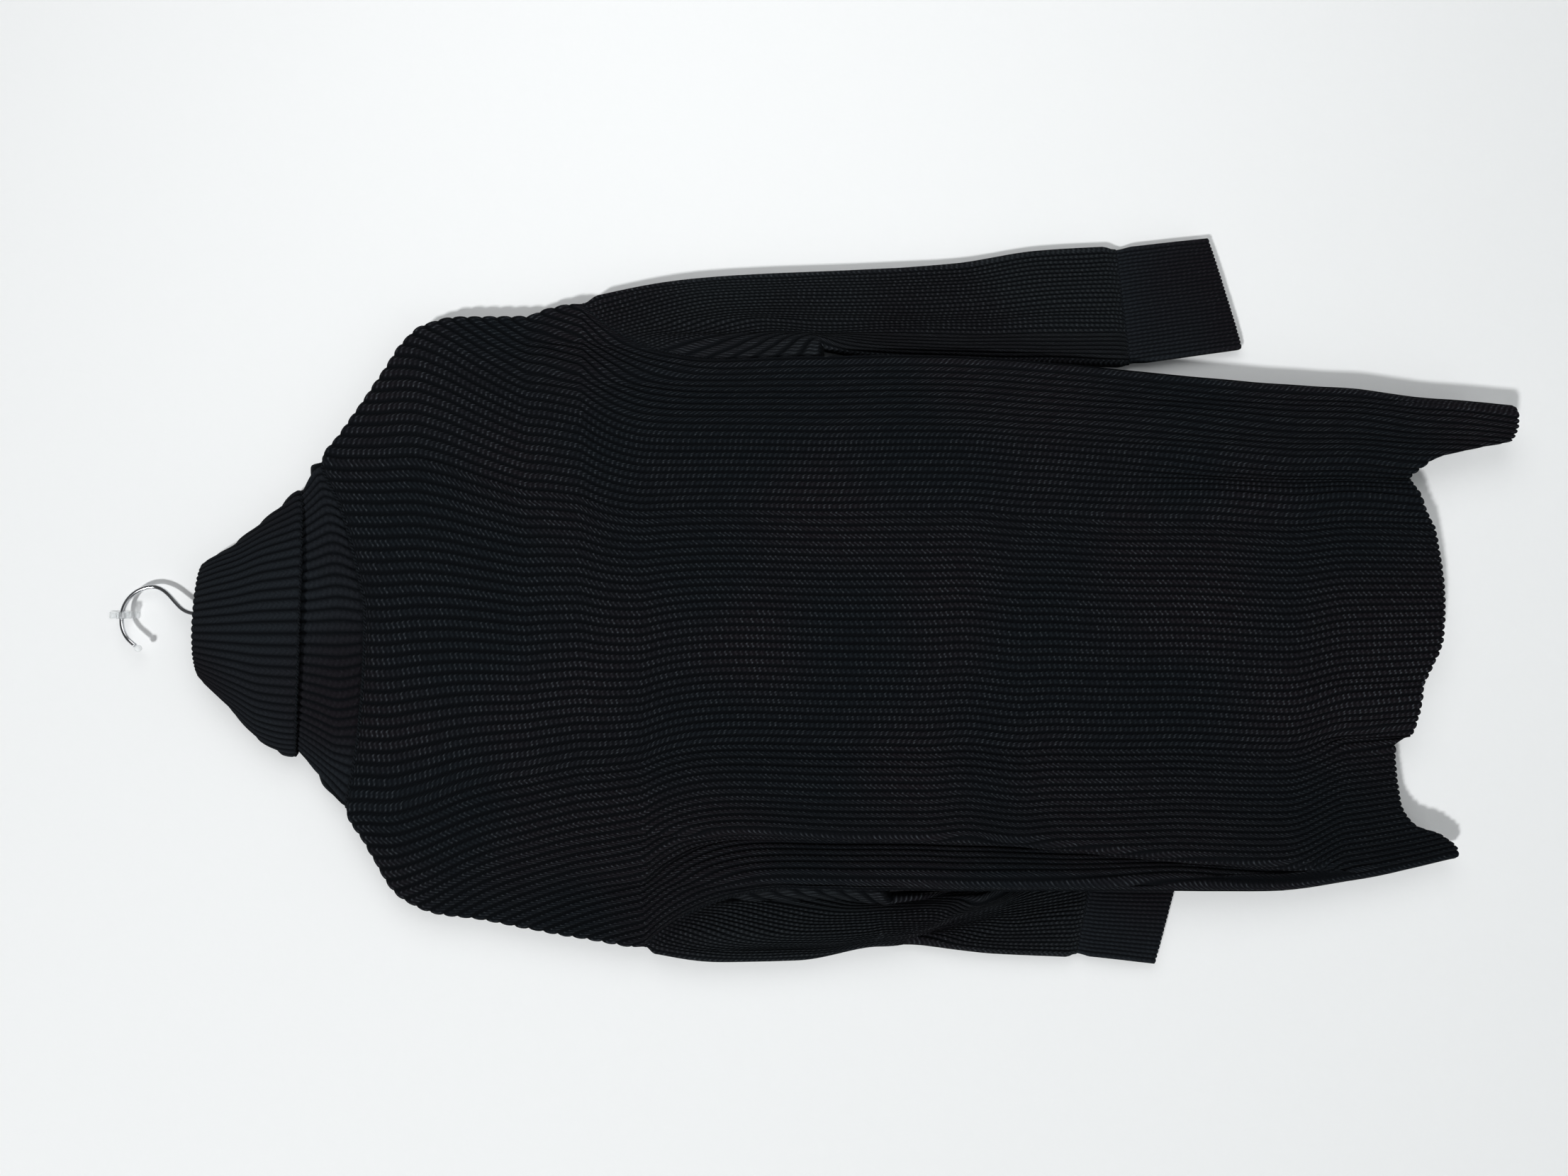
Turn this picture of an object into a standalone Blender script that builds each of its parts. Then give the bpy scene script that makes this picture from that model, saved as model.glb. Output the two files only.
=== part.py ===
"""A long, chunky ribbed turtleneck sweater on a plain hanger, hung from a small wall hook.

The garment is modelled as the pieces that a maker knits and links together: the panel that faces the
room, the panel against the wall, two sleeves, two cuffs and a folded collar. Each is one wall of cloth
with a plain inside and ribs raised on its outside. Sizes are in millimetres, the mesh is in metres.

Axes: the wall is the plane Y = 0, the room is at -Y, +Z is up. "Depth" is the distance off the wall.
The origin is the middle of the wall hook's back, where it meets the wall.
"""

import math
from collections import namedtuple

import bmesh
import bpy
import numpy as np

MM = 0.001
SEAM_GAP = 0.3
ARMHOLE_GAP = 0.4
ARMHOLE_EASE = 1.2  # the sleeve's first row also stands off the panels sideways
SEAM_WALL = 2.1  # thickness of the cloth where it is sewn
RIB_CREASE = 20  # degrees: an edge that turns by more is a crease

# Cloth.
WALL = 2.7  # the knitted ground, between the plain inside and the grooves
RIB_RISE = 1.4  # a rib's crest over its grooves
CLOTH = WALL + RIB_RISE
FINE_WALL = 2.4  # the cuffs are knitted tighter
FINE_RISE = 0.8

PANEL_RIBS = 84
SLEEVE_RIBS = 52
CUFF_RIBS = 60
COLLAR_RIBS = 58

# Shoulders: the length over which a panel turns down, over the hanger's arm and past its end.
ARM_TURN = 7.0
DROP_TURN = 5.0
HANGER_DEPTH = 14.0
NECK_STAND_OFF = 9.0  # how far the room panel's neck edge stands off the hanger's middle plane
WALL_NECK_STAND_OFF = 5.0

YARN_COLOUR = (0.010, 0.012, 0.016, 1.0)
CLEAR_COLOUR = (0.72, 0.75, 0.76, 1.0)
CHROME_COLOUR = (0.62, 0.63, 0.65, 1.0)

# The shoulder line, on the plain inside, from the left armhole over the neck to the right one. The
# neck rows of the room panel and of the wall panel differ, so the neck has tables of its own.
EdgePoint = namedtuple("EdgePoint", "x z")
LEFT_SHOULDER = (
    EdgePoint(x=-240.0, z=-389.0),
    EdgePoint(x=-235.0, z=-362.0),
    EdgePoint(x=-227.6, z=-317.5),
    EdgePoint(x=-219.0, z=-271.0),
    EdgePoint(x=-214.3, z=-236.5),
    EdgePoint(x=-206.2, z=-216.3),
    EdgePoint(x=-198.3, z=-206.8),
    EdgePoint(x=-165.0, z=-187.0),
    EdgePoint(x=-140.0, z=-173.0),
)
RIGHT_SHOULDER = (
    EdgePoint(x=112.5, z=-155.5),
    EdgePoint(x=130.8, z=-168.3),
    EdgePoint(x=175.0, z=-199.2),
    EdgePoint(x=197.5, z=-214.5),
    EdgePoint(x=209.7, z=-229.3),
    EdgePoint(x=215.0, z=-255.5),
    EdgePoint(x=215.0, z=-301.6),
    EdgePoint(x=220.2, z=-317.5),
    EdgePoint(x=226.0, z=-344.0),
)
ROOM_NECK = (
    EdgePoint(x=-116.0, z=-178.5),
    EdgePoint(x=-76.5, z=-184.0),
    EdgePoint(x=-39.0, z=-187.0),
    EdgePoint(x=0.0, z=-188.0),
    EdgePoint(x=40.0, z=-181.0),
    EdgePoint(x=80.0, z=-170.0),
)
WALL_NECK = (
    EdgePoint(x=-116.0, z=-184.0),
    EdgePoint(x=-76.5, z=-200.0),
    EdgePoint(x=-39.0, z=-211.0),
    EdgePoint(x=0.0, z=-213.0),
    EdgePoint(x=40.0, z=-203.0),
    EdgePoint(x=80.0, z=-182.0),
)

# The body below the underarms: a row for each level. left and right are the outer edges of the cloth;
# room_* and wall_* are the depths of the plain insides at the left edge, the middle and the right edge.
Level = namedtuple(
    "Level", "z left right room_left room_mid room_right wall_left wall_mid wall_right"
)
LEVELS = (
    Level(-500, -200, 189, 26.0, 21.0, 26.0, 17.6, 7.0, 17.6),
    Level(-570, -200, 190, 27.0, 22.0, 27.0, 17.6, 6.5, 17.6),
    Level(-630, -200, 188, 28.0, 23.0, 28.0, 17.6, 6.5, 17.6),
    Level(-690, -200, 183, 28.0, 23.5, 29.0, 17.6, 6.5, 17.6),
    Level(-760, -200, 176, 27.5, 24.0, 29.0, 17.6, 6.5, 17.6),
    Level(-840, -201, 169, 24.0, 25.0, 29.0, 13.0, 7.0, 17.0),
    Level(-900, -194, 165, 21.5, 25.0, 28.5, 10.5, 8.0, 17.0),
    Level(-945, -185, 159, 20.5, 25.0, 28.0, 10.0, 9.0, 17.5),
    Level(-975, -178, 157, 20.0, 25.0, 28.0, 10.5, 9.0, 18.0),
    Level(-1014, -172, 153, 20.0, 25.0, 28.0, 11.0, 9.0, 18.5),
)
LEFT_UNDERARM_Z = -562.0
RIGHT_UNDERARM_Z = -517.0

# The hem of the room panel droops at both side folds; the wall panel's hem is plain and a little higher.
ROOM_HEM = (
    EdgePoint(x=-190.0, z=-978.0),
    EdgePoint(x=-174.0, z=-976.0),
    EdgePoint(x=-160.0, z=-964.0),
    EdgePoint(x=-148.0, z=-944.0),
    EdgePoint(x=-131.0, z=-934.0),
    EdgePoint(x=-92.0, z=-929.0),
    EdgePoint(x=-84.0, z=-941.0),
    EdgePoint(x=-54.0, z=-947.0),
    EdgePoint(x=-17.0, z=-962.0),
    EdgePoint(x=12.0, z=-963.5),
    EdgePoint(x=60.0, z=-957.0),
    EdgePoint(x=82.0, z=-946.0),
    EdgePoint(x=100.0, z=-941.0),
    EdgePoint(x=111.0, z=-952.0),
    EdgePoint(x=121.0, z=-985.0),
    EdgePoint(x=130.0, z=-1010.0),
    EdgePoint(x=145.0, z=-1014.0),
    EdgePoint(x=170.0, z=-1010.0),
)
WALL_HEM = (
    EdgePoint(x=-190.0, z=-978.0),
    EdgePoint(x=-172.0, z=-970.0),
    EdgePoint(x=-140.0, z=-926.0),
    EdgePoint(x=0.0, z=-922.0),
    EdgePoint(x=110.0, z=-930.0),
    EdgePoint(x=136.0, z=-996.0),
    EdgePoint(x=170.0, z=-1010.0),
)

# Soft folds that hang in a panel: a ridge where rise is above zero, a trough where it is below. The fold
# runs from (top_x, top_z) to (foot_x, foot_z) and fades out over fade at both ends.
Fold = namedtuple("Fold", "top_x top_z foot_x foot_z half_width rise fade")
ROOM_FOLDS = (
    Fold(-186, -380, -189, -960, 11, 2.0, 100),  # band along the left side
    Fold(-163, -410, -176, -900, 14, -6.0, 180),  # long valley inside that band
    Fold(-120, -430, -118, -800, 24, 2.5, 120),
    Fold(-88, -880, -86, -980, 10, -4.0, 30),  # small step in the hem
    Fold(-60, -860, -62, -980, 16, 3.0, 60),
    Fold(-20, -560, 10, -900, 40, 2.0, 120),
    Fold(70, -700, 84, -980, 18, 2.5, 120),
    Fold(100, -760, 97, -980, 15, -7.0, 110),  # valley beside the right leg
    Fold(137, -720, 140, -1000, 16, 3.0, 110),  # the right leg itself
    Fold(178, -300, 174, -430, 12, 4.0, 40),  # lip of the right armhole crease
    Fold(197, -300, 194, -400, 11, -3.5, 40),
    Fold(120, -380, 150, -640, 26, 2.0, 100),
)
WALL_FOLDS = (
    Fold(-165, -390, -170, -560, 18, 2.5, 100),
    Fold(-120, -420, -96, -900, 22, -5.0, 110),
    Fold(-40, -520, -30, -940, 24, 1.5, 120),
    Fold(40, -460, 60, -900, 24, -4.0, 120),
    Fold(100, -600, 96, -940, 18, 1.5, 110),
)

# Sleeves: a row for each ring below the armhole. The outer edge is away from the body; out_* is its
# place, in_* the inner edge's, both on the outside of the cloth. swell_* is how far the plain inside
# stands off the line between the edges, towards the room and towards the wall.
Ring = namedtuple("Ring", "out_x out_z out_depth in_x in_z in_depth swell_room swell_wall")
LEFT_SLEEVE = (
    Ring(-248.5, -440, 14.5, -205.5, -573, 14.0, 4.5, 3.0),
    Ring(-247.5, -495, 14.0, -204.5, -596, 10.5, 5.5, 3.0),
    Ring(-237.5, -556, 14.0, -203.0, -630, 8.0, 6.5, 3.0),
    Ring(-239.0, -578, 9.0, -200.0, -648, 7.2, 2.0, 1.5),
    Ring(-248.0, -642, 8.0, -178.0, -684, 7.0, 1.5, 1.5),
    Ring(-252.0, -704, 7.0, -158.0, -722, 7.0, 1.5, 1.5),
)
RIGHT_SLEEVE = (
    Ring(241.0, -410, 14.5, 196.5, -520, 14.5, 4.0, 3.0),
    Ring(246.5, -470, 13.5, 194.0, -548, 10.5, 4.0, 3.0),
    Ring(250.5, -536, 12.5, 192.5, -580, 7.6, 3.5, 2.5),
    Ring(257.0, -611, 10.5, 186.5, -640, 7.0, 2.0, 1.6),
    Ring(267.8, -674, 8.5, 182.0, -700, 7.0, 1.6, 1.5),
    Ring(272.0, -733, 7.0, 180.5, -744, 7.0, 1.5, 1.5),
)
LEFT_CUFF = (
    Ring(-250.5, -704.3, 6.8, -160.5, -722.3, 6.8, 2.0, 2.0),
    Ring(-257.0, -760.0, 6.4, -156.0, -786.0, 6.4, 2.1, 2.1),
)
RIGHT_CUFF = (
    Ring(270.5, -733.3, 6.8, 182.5, -744.3, 6.8, 2.0, 2.0),
    Ring(277.5, -799.0, 6.6, 194.0, -825.0, 6.6, 2.2, 2.2),
)

# Collar: a row for each hoop of its stand, from the neck seam up, and of the flap folded down over it,
# from its edge up. left and right are the outer edges of the cloth, left_z and right_z their heights, and
# sag lowers the middle of the room side. side, room and wall are depths of the plain inside. share is
# the part of the ribs that faces the room.
Hoop = namedtuple("Hoop", "left right left_z right_z sag side room wall share")
COLLAR_STAND = (
    Hoop(-126, 107, -158.5, -151.0, 17.0, 13.0, 27.0, 10.2, 0.54),
    Hoop(-102.5, 96, -152.5, -151.5, 8.0, 13.0, 29.5, 10.2, 0.53),
    Hoop(-94, 84, -144.0, -146.5, 3.5, 13.0, 30.5, 10.2, 0.51),
    Hoop(-83, 64, -115.0, -113.0, 0.0, 13.0, 30.5, 10.2, 0.46),
    Hoop(-54, 41, -85.0, -83.0, -3.0, 13.0, 27.0, 10.2, 0.40),
)
COLLAR_FLAP = (
    Hoop(-104, 93, -146.0, -142.0, 4.0, 13.0, 38.5, 4.8, 0.49),
    Hoop(-102, 84, -128.0, -126.0, 2.0, 13.0, 39.5, 4.8, 0.475),
    Hoop(-93, 73, -112.0, -110.0, 0.0, 12.5, 39.0, 4.8, 0.45),
    Hoop(-65, 51, -84.0, -82.0, -3.0, 12.5, 36.0, 4.8, 0.40),
    Hoop(-51, 44, -76.0, -75.5, -4.0, 12.5, 33.0, 5.0, 0.375),
)
COLLAR_CROWN = Hoop(-43, 37, -68.0, -67.5, -1.5, 12.5, 29.0, 7.0, 0.37)

# Hanger and wall hook.
ArmPoint = namedtuple("ArmPoint", "x z")
HANGER_ARM = (
    ArmPoint(x=0.0, z=-112.0),
    ArmPoint(x=20.0, z=-119.5),
    ArmPoint(x=50.0, z=-137.5),
    ArmPoint(x=80.0, z=-153.5),
    ArmPoint(x=112.0, z=-170.0),
    ArmPoint(x=150.0, z=-191.5),
    ArmPoint(x=184.0, z=-212.5),
    ArmPoint(x=200.0, z=-224.5),
)
HANGER_TILT = 0.5  # degrees, left end up
ARM_HEIGHT = 10.0
ARM_THICKNESS = 5.0
ARM_SIDES = 8
ARM_RINGS = 10
BOSS_HEIGHT = 15.0
BOSS_HALF_WIDTH = 17.0

# The wire hook: a stem, an easy S bend and a round hook whose crown hangs on the wall hook.
WirePoint = namedtuple("WirePoint", "x z depth")
WIRE_STEM = (
    WirePoint(x=0.0, z=-104.2, depth=14.0),
    WirePoint(x=0.2, z=-70.0, depth=13.4),
    WirePoint(x=1.2, z=-58.5, depth=12.8),
    WirePoint(x=3.7, z=-51.3, depth=12.2),
    WirePoint(x=9.4, z=-45.1, depth=11.0),
    WirePoint(x=15.2, z=-39.4, depth=9.4),
    WirePoint(x=19.2, z=-33.6, depth=7.8),
)
WIRE_RADIUS = 1.6
WIRE_SIDES = 8
HOOK_CENTRE_X = -1.5
HOOK_CENTRE_Z = -27.0
HOOK_RADIUS = 22.4
HOOK_START = -4.0  # degrees, at the right of the round part
HOOK_END = 138.0  # at its left
BEND_DEPTH = 7.0
CROWN_DEPTH = 9.0
TAIL_DEPTH = 12.6
HOOK_STEPS = 11
TAIL_LENGTH = 6.0  # the tail runs straight on past the round part
TIP_RADIUS = 2.5

HOOK_WIDTH = 5.0
PLATE_TOP = 9.0
PLATE_FOOT = -13.0
PLATE_THICKNESS = 1.8
HOOK_ARM_TOP = -6.6
HOOK_ARM_THICKNESS = 3.0
HOOK_ARM_REACH = 15.0
HOOK_LIP_RISE = 3.2
HOOK_LIP_THICKNESS = 2.2


def material(name, colour, roughness, metallic=0.0):
    """A plain finish."""
    made = bpy.data.materials.new(name)
    made.use_nodes = True
    shader = made.node_tree.nodes["Principled BSDF"]
    shader.inputs["Base Color"].default_value = colour
    shader.inputs["Roughness"].default_value = roughness
    shader.inputs["Metallic"].default_value = metallic
    return made


def smooth(at, knots, values):
    """Cubic interpolation that passes through the values and never overshoots them."""
    knots = np.asarray(knots, float)
    values = np.asarray(values, float)
    steps = np.diff(knots)
    slopes = np.diff(values) / steps
    tangents = np.empty_like(values)
    tangents[0] = slopes[0]
    tangents[-1] = slopes[-1]
    before, after = slopes[:-1], slopes[1:]
    same_way = before * after > 0
    total = np.where(same_way, before + after, 1.0)
    tangents[1:-1] = np.where(same_way, 2 * before * after / total, 0.0)
    at = np.clip(at, knots[0], knots[-1])
    piece = np.clip(np.searchsorted(knots, at, side="right") - 1, 0, len(steps) - 1)
    width = steps[piece]
    t = (at - knots[piece]) / width
    return (
        (2 * t**3 - 3 * t**2 + 1) * values[piece]
        + (t**3 - 2 * t**2 + t) * width * tangents[piece]
        + (3 * t**2 - 2 * t**3) * values[piece + 1]
        + (t**3 - t**2) * width * tangents[piece + 1]
    )


def ease(t):
    """0 to 1 with flat ends."""
    t = np.clip(t, 0.0, 1.0)
    return t * t * (3 - 2 * t)


def spaced(points, count):
    """count + 1 rows at even lengths along a line whose first columns, up to three, are places."""
    steps = np.linalg.norm(np.diff(points[:, :3], axis=0), axis=1)
    lengths = np.concatenate([[0.0], np.cumsum(steps)])
    wanted = np.linspace(0.0, lengths[-1], count + 1)
    return np.stack([np.interp(wanted, lengths, points[:, k]) for k in range(points.shape[1])], axis=1)


def curve_through(rows, steps=24):
    """A dense smooth line through table rows, as (x, z)."""
    corners = np.array(rows, float)
    chord = np.linalg.norm(np.diff(corners, axis=0), axis=1)
    knots = np.concatenate([[0.0], np.cumsum(np.sqrt(chord))])
    at = np.linspace(0.0, knots[-1], steps * len(corners))
    return np.stack([smooth(at, knots, corners[:, k]) for k in range(2)], axis=1)


def fold_depth(x, z, folds):
    """The depth that a panel's folds add at (x, z)."""
    added = np.zeros_like(x)
    for fold in folds:
        along = (fold.top_z - z) / (fold.top_z - fold.foot_z)
        centre = fold.top_x + (fold.foot_x - fold.top_x) * np.clip(along, 0.0, 1.0)
        across = np.clip(np.abs(x - centre) / fold.half_width, 0.0, 1.0)
        start = ease((fold.top_z - z) / fold.fade + 0.5)
        end = ease((z - fold.foot_z) / fold.fade + 0.5)
        added += fold.rise * (1 - ease(across)) * start * end
    return added


class Panel:
    """One body panel: its ribs run from the shoulder line to the hem.

    side is +1 for the panel that faces the room and -1 for the one against the wall.
    """

    columns = 2 * PANEL_RIBS
    turn_rows = (0.0, 0.5, 1.0)
    yoke_rows = (0.25, 0.6, 1.0)
    body_rows = (0.3, 0.6, 0.82, 1.0)

    def __init__(self, side, neck, hem, folds):
        self.side = side
        self.hem = hem
        self.folds = folds
        line = curve_through(LEFT_SHOULDER + neck + RIGHT_SHOULDER)
        self.top = spaced(line, self.columns)
        self.neck_left = LEFT_SHOULDER[-1].x
        self.neck_right = RIGHT_SHOULDER[0].x
        self.level_z = np.linspace(LEVELS[0].z, LEVELS[-1].z, 40)
        self.sections = np.stack([self.section(z) for z in self.level_z])

    def section(self, z):
        """Even places along one level of the body, from side seam to side seam, as (x, depth)."""
        heights = [-level.z for level in LEVELS]
        value = {
            name: float(smooth(-z, heights, [getattr(level, name) for level in LEVELS]))
            for name in Level._fields[1:]
        }
        left, right = value["left"] + CLOTH, value["right"] - CLOTH
        near = "room" if self.side > 0 else "wall"
        depths = [value[f"{near}_{place}"] for place in ("left", "mid", "right")]
        seam_left = (value["room_left"] + value["wall_left"]) / 2
        seam_right = (value["room_right"] + value["wall_right"]) / 2
        radius_left = abs(depths[0] - seam_left)
        radius_right = abs(depths[2] - seam_right)
        turn = np.linspace(0.0, math.pi / 2, 12)
        run = np.linspace(left + radius_left, right - radius_right, 160)[1:-1]
        share = (run - left) / (right - left)
        # A flat stretch over each sleeve, then an easy slope to the middle.
        depth = np.where(
            share < 0.5,
            depths[0] + (depths[1] - depths[0]) * ease((share - 0.13) / 0.22),
            depths[2] + (depths[1] - depths[2]) * ease((0.87 - share) / 0.22),
        )
        depth = depth + self.side * fold_depth(run, np.full_like(run, z), self.folds)
        first = np.stack(
            [left + radius_left * (1 - np.cos(turn)), seam_left + self.side * radius_left * np.sin(turn)],
            axis=1,
        )
        last = np.stack(
            [right - radius_right * (1 - np.cos(turn)), seam_right + self.side * radius_right * np.sin(turn)],
            axis=1,
        )
        line = np.concatenate([first, np.stack([run, depth], axis=1), last[::-1]])
        return spaced(line, self.columns)

    def at_levels(self, z):
        """(x, depth) of every column, each at its own height."""
        found = np.empty((self.columns + 1, 2))
        for column in range(self.columns + 1):
            for k in range(2):
                track = self.sections[:, column, k]
                found[column, k] = np.interp(-z[column], -self.level_z, track)
        return found

    def hem_heights(self):
        """The height at which each column ends."""
        nominal = self.at_levels(np.full(self.columns + 1, -955.0))[:, 0]
        table = np.array(self.hem)
        return smooth(nominal, table[:, 0], table[:, 1])

    def grid(self):
        """The plain inside, as rows of (x, depth, z)."""
        columns = np.arange(self.columns + 1)
        share = columns / self.columns
        arm_z = LEFT_UNDERARM_Z + (RIGHT_UNDERARM_Z - LEFT_UNDERARM_Z) * share
        arm = self.at_levels(arm_z)
        foot = np.stack([arm[:, 0], arm_z], axis=1)
        reach = np.linalg.norm(foot - self.top, axis=1)
        # Ribs leave the drop shoulders at 45 degrees and the neck straight down.
        from_neck = np.where(
            self.top[:, 0] < 0, self.neck_left + 20 - self.top[:, 0], self.top[:, 0] - self.neck_right + 20
        )
        lean = math.radians(47) * ease(from_neck / 125.0) * np.sign(-self.top[:, 0])
        heading = np.stack([np.sin(lean), -np.cos(lean)], axis=1) * (1.15 * reach)[:, None]
        landing = np.stack([np.zeros_like(reach), -reach], axis=1)
        # How far the cloth turns at the shoulder line: a quarter turn there, none along the neck.
        beside_neck = np.maximum(self.neck_left - self.top[:, 0], self.top[:, 0] - self.neck_right)
        turn_angle = math.pi / 2 * ease((beside_neck + 22.0) / 34.0)
        past_arm = np.maximum(-206.0 - self.top[:, 0], self.top[:, 0] - 205.0)
        on_drop = ease((past_arm + 8) / 16.0) * ease((-216.0 - self.top[:, 1]) / 30.0)
        start_depth = HANGER_DEPTH + 1.0 * on_drop
        length = ARM_TURN + (DROP_TURN - ARM_TURN) * on_drop
        safe = np.maximum(turn_angle, 1e-4)
        front = start_depth + self.side * length * (1 - np.cos(turn_angle)) / safe
        stand_off = NECK_STAND_OFF if self.side > 0 else WALL_NECK_STAND_OFF
        front = front + self.side * (1 - turn_angle / (math.pi / 2)) * stand_off
        rows = []
        for part in self.turn_rows:
            done = turn_angle * (1 - part)
            along = np.where(
                turn_angle > 1e-3, length * (np.sin(turn_angle) - np.sin(done)) / safe, length * part
            )
            depth = front - self.side * length * (1 - np.cos(done)) / safe
            rows.append(self.yoke_row(along / reach, foot, heading, landing, depth, arm[:, 1], 0.0))
        for part in self.yoke_rows:
            along = np.where(turn_angle > 1e-3, length * np.sin(turn_angle) / safe, length) / reach
            t = along + (1 - along) * part
            rows.append(self.yoke_row(t, foot, heading, landing, front, arm[:, 1], part))
        hem = self.hem_heights()
        for part in self.body_rows:
            z = arm_z + (hem - arm_z) * part
            place = self.at_levels(z)
            rows.append(np.stack([place[:, 0], place[:, 1], z], axis=1))
        made = np.stack(rows)
        made[0, :, 1] += self.side * SEAM_GAP / 2 * (turn_angle > 0.5)
        made[:, (0, -1), 1] += self.side * SEAM_GAP / 2
        return made

    def yoke_row(self, t, foot, heading, landing, depth, arm_depth, part):
        """One row between the shoulder line and the underarms."""
        t = t[:, None]
        place = (
            (2 * t**3 - 3 * t**2 + 1) * self.top
            + (t**3 - 2 * t**2 + t) * heading
            + (3 * t**2 - 2 * t**3) * foot
            + (t**3 - t**2) * landing
        )
        depth = depth + (arm_depth - depth) * ease(part)
        added = fold_depth(place[:, 0], place[:, 1], self.folds) * (1 - ease((part - 0.7) / 0.3))
        near_edge = np.minimum(np.arange(self.columns + 1), np.arange(self.columns + 1)[::-1]) / 8.0
        depth = depth + self.side * added * ease(near_edge) * ease(part / 0.2)
        return np.stack([place[:, 0], depth, place[:, 1]], axis=1)


def normals_of(grid, outward, ring):
    """Unit normals of a grid of (x, depth, z), turned to the outside of the cloth."""
    if ring:
        across = np.roll(grid, -1, axis=1) - np.roll(grid, 1, axis=1)
    else:
        across = np.gradient(grid, axis=1)
    down = np.gradient(grid, axis=0)
    normal = np.cross(across, down)
    normal /= np.linalg.norm(normal, axis=2, keepdims=True)
    return normal * outward


def zip_rows(bm, many, few, picks, closed, flip):
    """Joins a row of many points to a row of few; picks gives each few's place among the many."""
    count = len(many)
    pairs = len(few) if closed else len(few) - 1
    for k in range(pairs):
        start, end = picks[k], picks[k + 1] if k + 1 < len(picks) else count
        middle = (start + end) // 2
        a, b = few[k], few[(k + 1) % len(few)]
        faces = [(a, many[j % count], many[(j + 1) % count]) for j in range(start, middle)]
        faces.append((a, many[middle % count], b))
        faces += [(b, many[j % count], many[(j + 1) % count]) for j in range(middle, end)]
        for face in faces:
            bm.faces.new(face[::-1] if flip else face)


def place(bm, point):
    """A mesh point from (x, depth, z) in millimetres."""
    return bm.verts.new((point[0] * MM, -point[1] * MM, point[2] * MM))


def fill_rows(bm, upper, lower, closed):
    """Faces between two rows of as many points."""
    for c in range(len(upper) if closed else len(upper) - 1):
        n = (c + 1) % len(upper)
        bm.faces.new((upper[c], lower[c], lower[n], upper[n]))


def wall_object(name, grid, outside, picks, ring, finish):
    """A closed wall: a ribbed outside on every column and a plain inside on the picked columns."""
    bm = bmesh.new()
    outer = [[place(bm, p) for p in row] for row in outside]
    inner = [[place(bm, row[k]) for k in picks] for row in grid]
    for r in range(len(outer) - 1):
        fill_rows(bm, outer[r], outer[r + 1], ring)
        fill_rows(bm, inner[r + 1], inner[r], ring)
    zip_rows(bm, outer[0], inner[0], picks, ring, False)
    zip_rows(bm, outer[-1], inner[-1], picks, ring, True)
    if not ring:
        for r in range(len(outer) - 1):
            bm.faces.new((outer[r][0], inner[r][0], inner[r + 1][0], outer[r + 1][0]))
            bm.faces.new((outer[r + 1][-1], inner[r + 1][-1], inner[r][-1], outer[r][-1]))
    return mesh_object(name, bm, finish, RIB_CREASE)


def mesh_object(name, bm, finish, crease):
    """An object from a bmesh, shaded smooth but for the edges that turn by more than the crease angle."""
    bmesh.ops.recalc_face_normals(bm, faces=bm.faces)
    mesh = bpy.data.meshes.new(name)
    bm.to_mesh(mesh)
    bm.free()
    mesh.shade_smooth()
    mesh.set_sharp_from_angle(angle=math.radians(crease))
    made = bpy.data.objects.new(name, mesh)
    bpy.context.scene.collection.objects.link(made)
    mesh.materials.append(finish)
    return made


def rib_thickness(rows, columns, wall, rise):
    """Wall thickness over a grid: crests on odd columns, grooves on even ones."""
    crest = (np.arange(columns) % 2).astype(float)
    return np.tile(wall + rise * crest, (rows, 1))


def panel_picks():
    """Columns of a panel's plain inside: close together at the side seams and across the deep folds."""
    last = 2 * PANEL_RIBS
    edges = {0, 1, 2, 4, last - 4, last - 2, last - 1, last}
    folds = set(range(6, 27, 3)) | set(range(126, 148, 3))
    return sorted(edges | folds | set(range(6, last - 5, 6)))


class Cloth:
    """The points of one piece: its plain inside, unit normals and thickness."""

    def __init__(self, grid, normal, thickness):
        self.grid = grid
        self.normal = normal
        self.thickness = thickness

    def outside(self):
        """The ribbed outside."""
        return self.grid + self.normal * self.thickness[..., None]


def panel_cloth(panel):
    """A body panel's cloth, thinner at the edges that are sewn."""
    grid = panel.grid()
    thickness = rib_thickness(len(grid), grid.shape[1], WALL, RIB_RISE)
    thickness[:, (0, -1)] = SEAM_WALL
    thickness[0] -= 0.5
    return Cloth(grid, normals_of(grid, 1 if panel.side > 0 else -1, False), thickness)


def unit(vectors):
    """The same vectors at length one."""
    return vectors / np.linalg.norm(vectors, axis=-1, keepdims=True)


def sleeve_cloth(room, wall, left, rings):
    """A sleeve's cloth. Along the armhole it and both panels share the mitre of their normals."""
    column = 0 if left else -1
    last = len(Panel.turn_rows) + len(Panel.yoke_rows)
    near = np.concatenate([room.grid[:last, column], room.normal[:last, column]], axis=1)
    far = np.concatenate([wall.grid[:last, column], wall.normal[:last, column]], axis=1)
    count = 2 * SLEEVE_RIBS
    edge = spaced(np.concatenate([near, far[::-1]]), count)[:-1]
    grid = tube_grid(rings, count, CLOTH, edge[:, :3])
    normal = normals_of(grid, 1 if left else -1, True)
    normal[0] = unit(edge[:, 3:] + normal[0])
    for cloth in (room, wall):
        for row in range(last):
            nearest = np.argmin(np.linalg.norm(grid[0] - cloth.grid[row, column], axis=1))
            cloth.normal[row, column] = normal[0][nearest]
    grid = shift_first_row(grid, ARMHOLE_GAP)
    grid[0, :, 0] -= ARMHOLE_EASE if left else -ARMHOLE_EASE
    thickness = rib_thickness(len(grid), count, WALL, RIB_RISE)
    thickness[0] = SEAM_WALL
    return Cloth(grid, normal, thickness)


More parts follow.
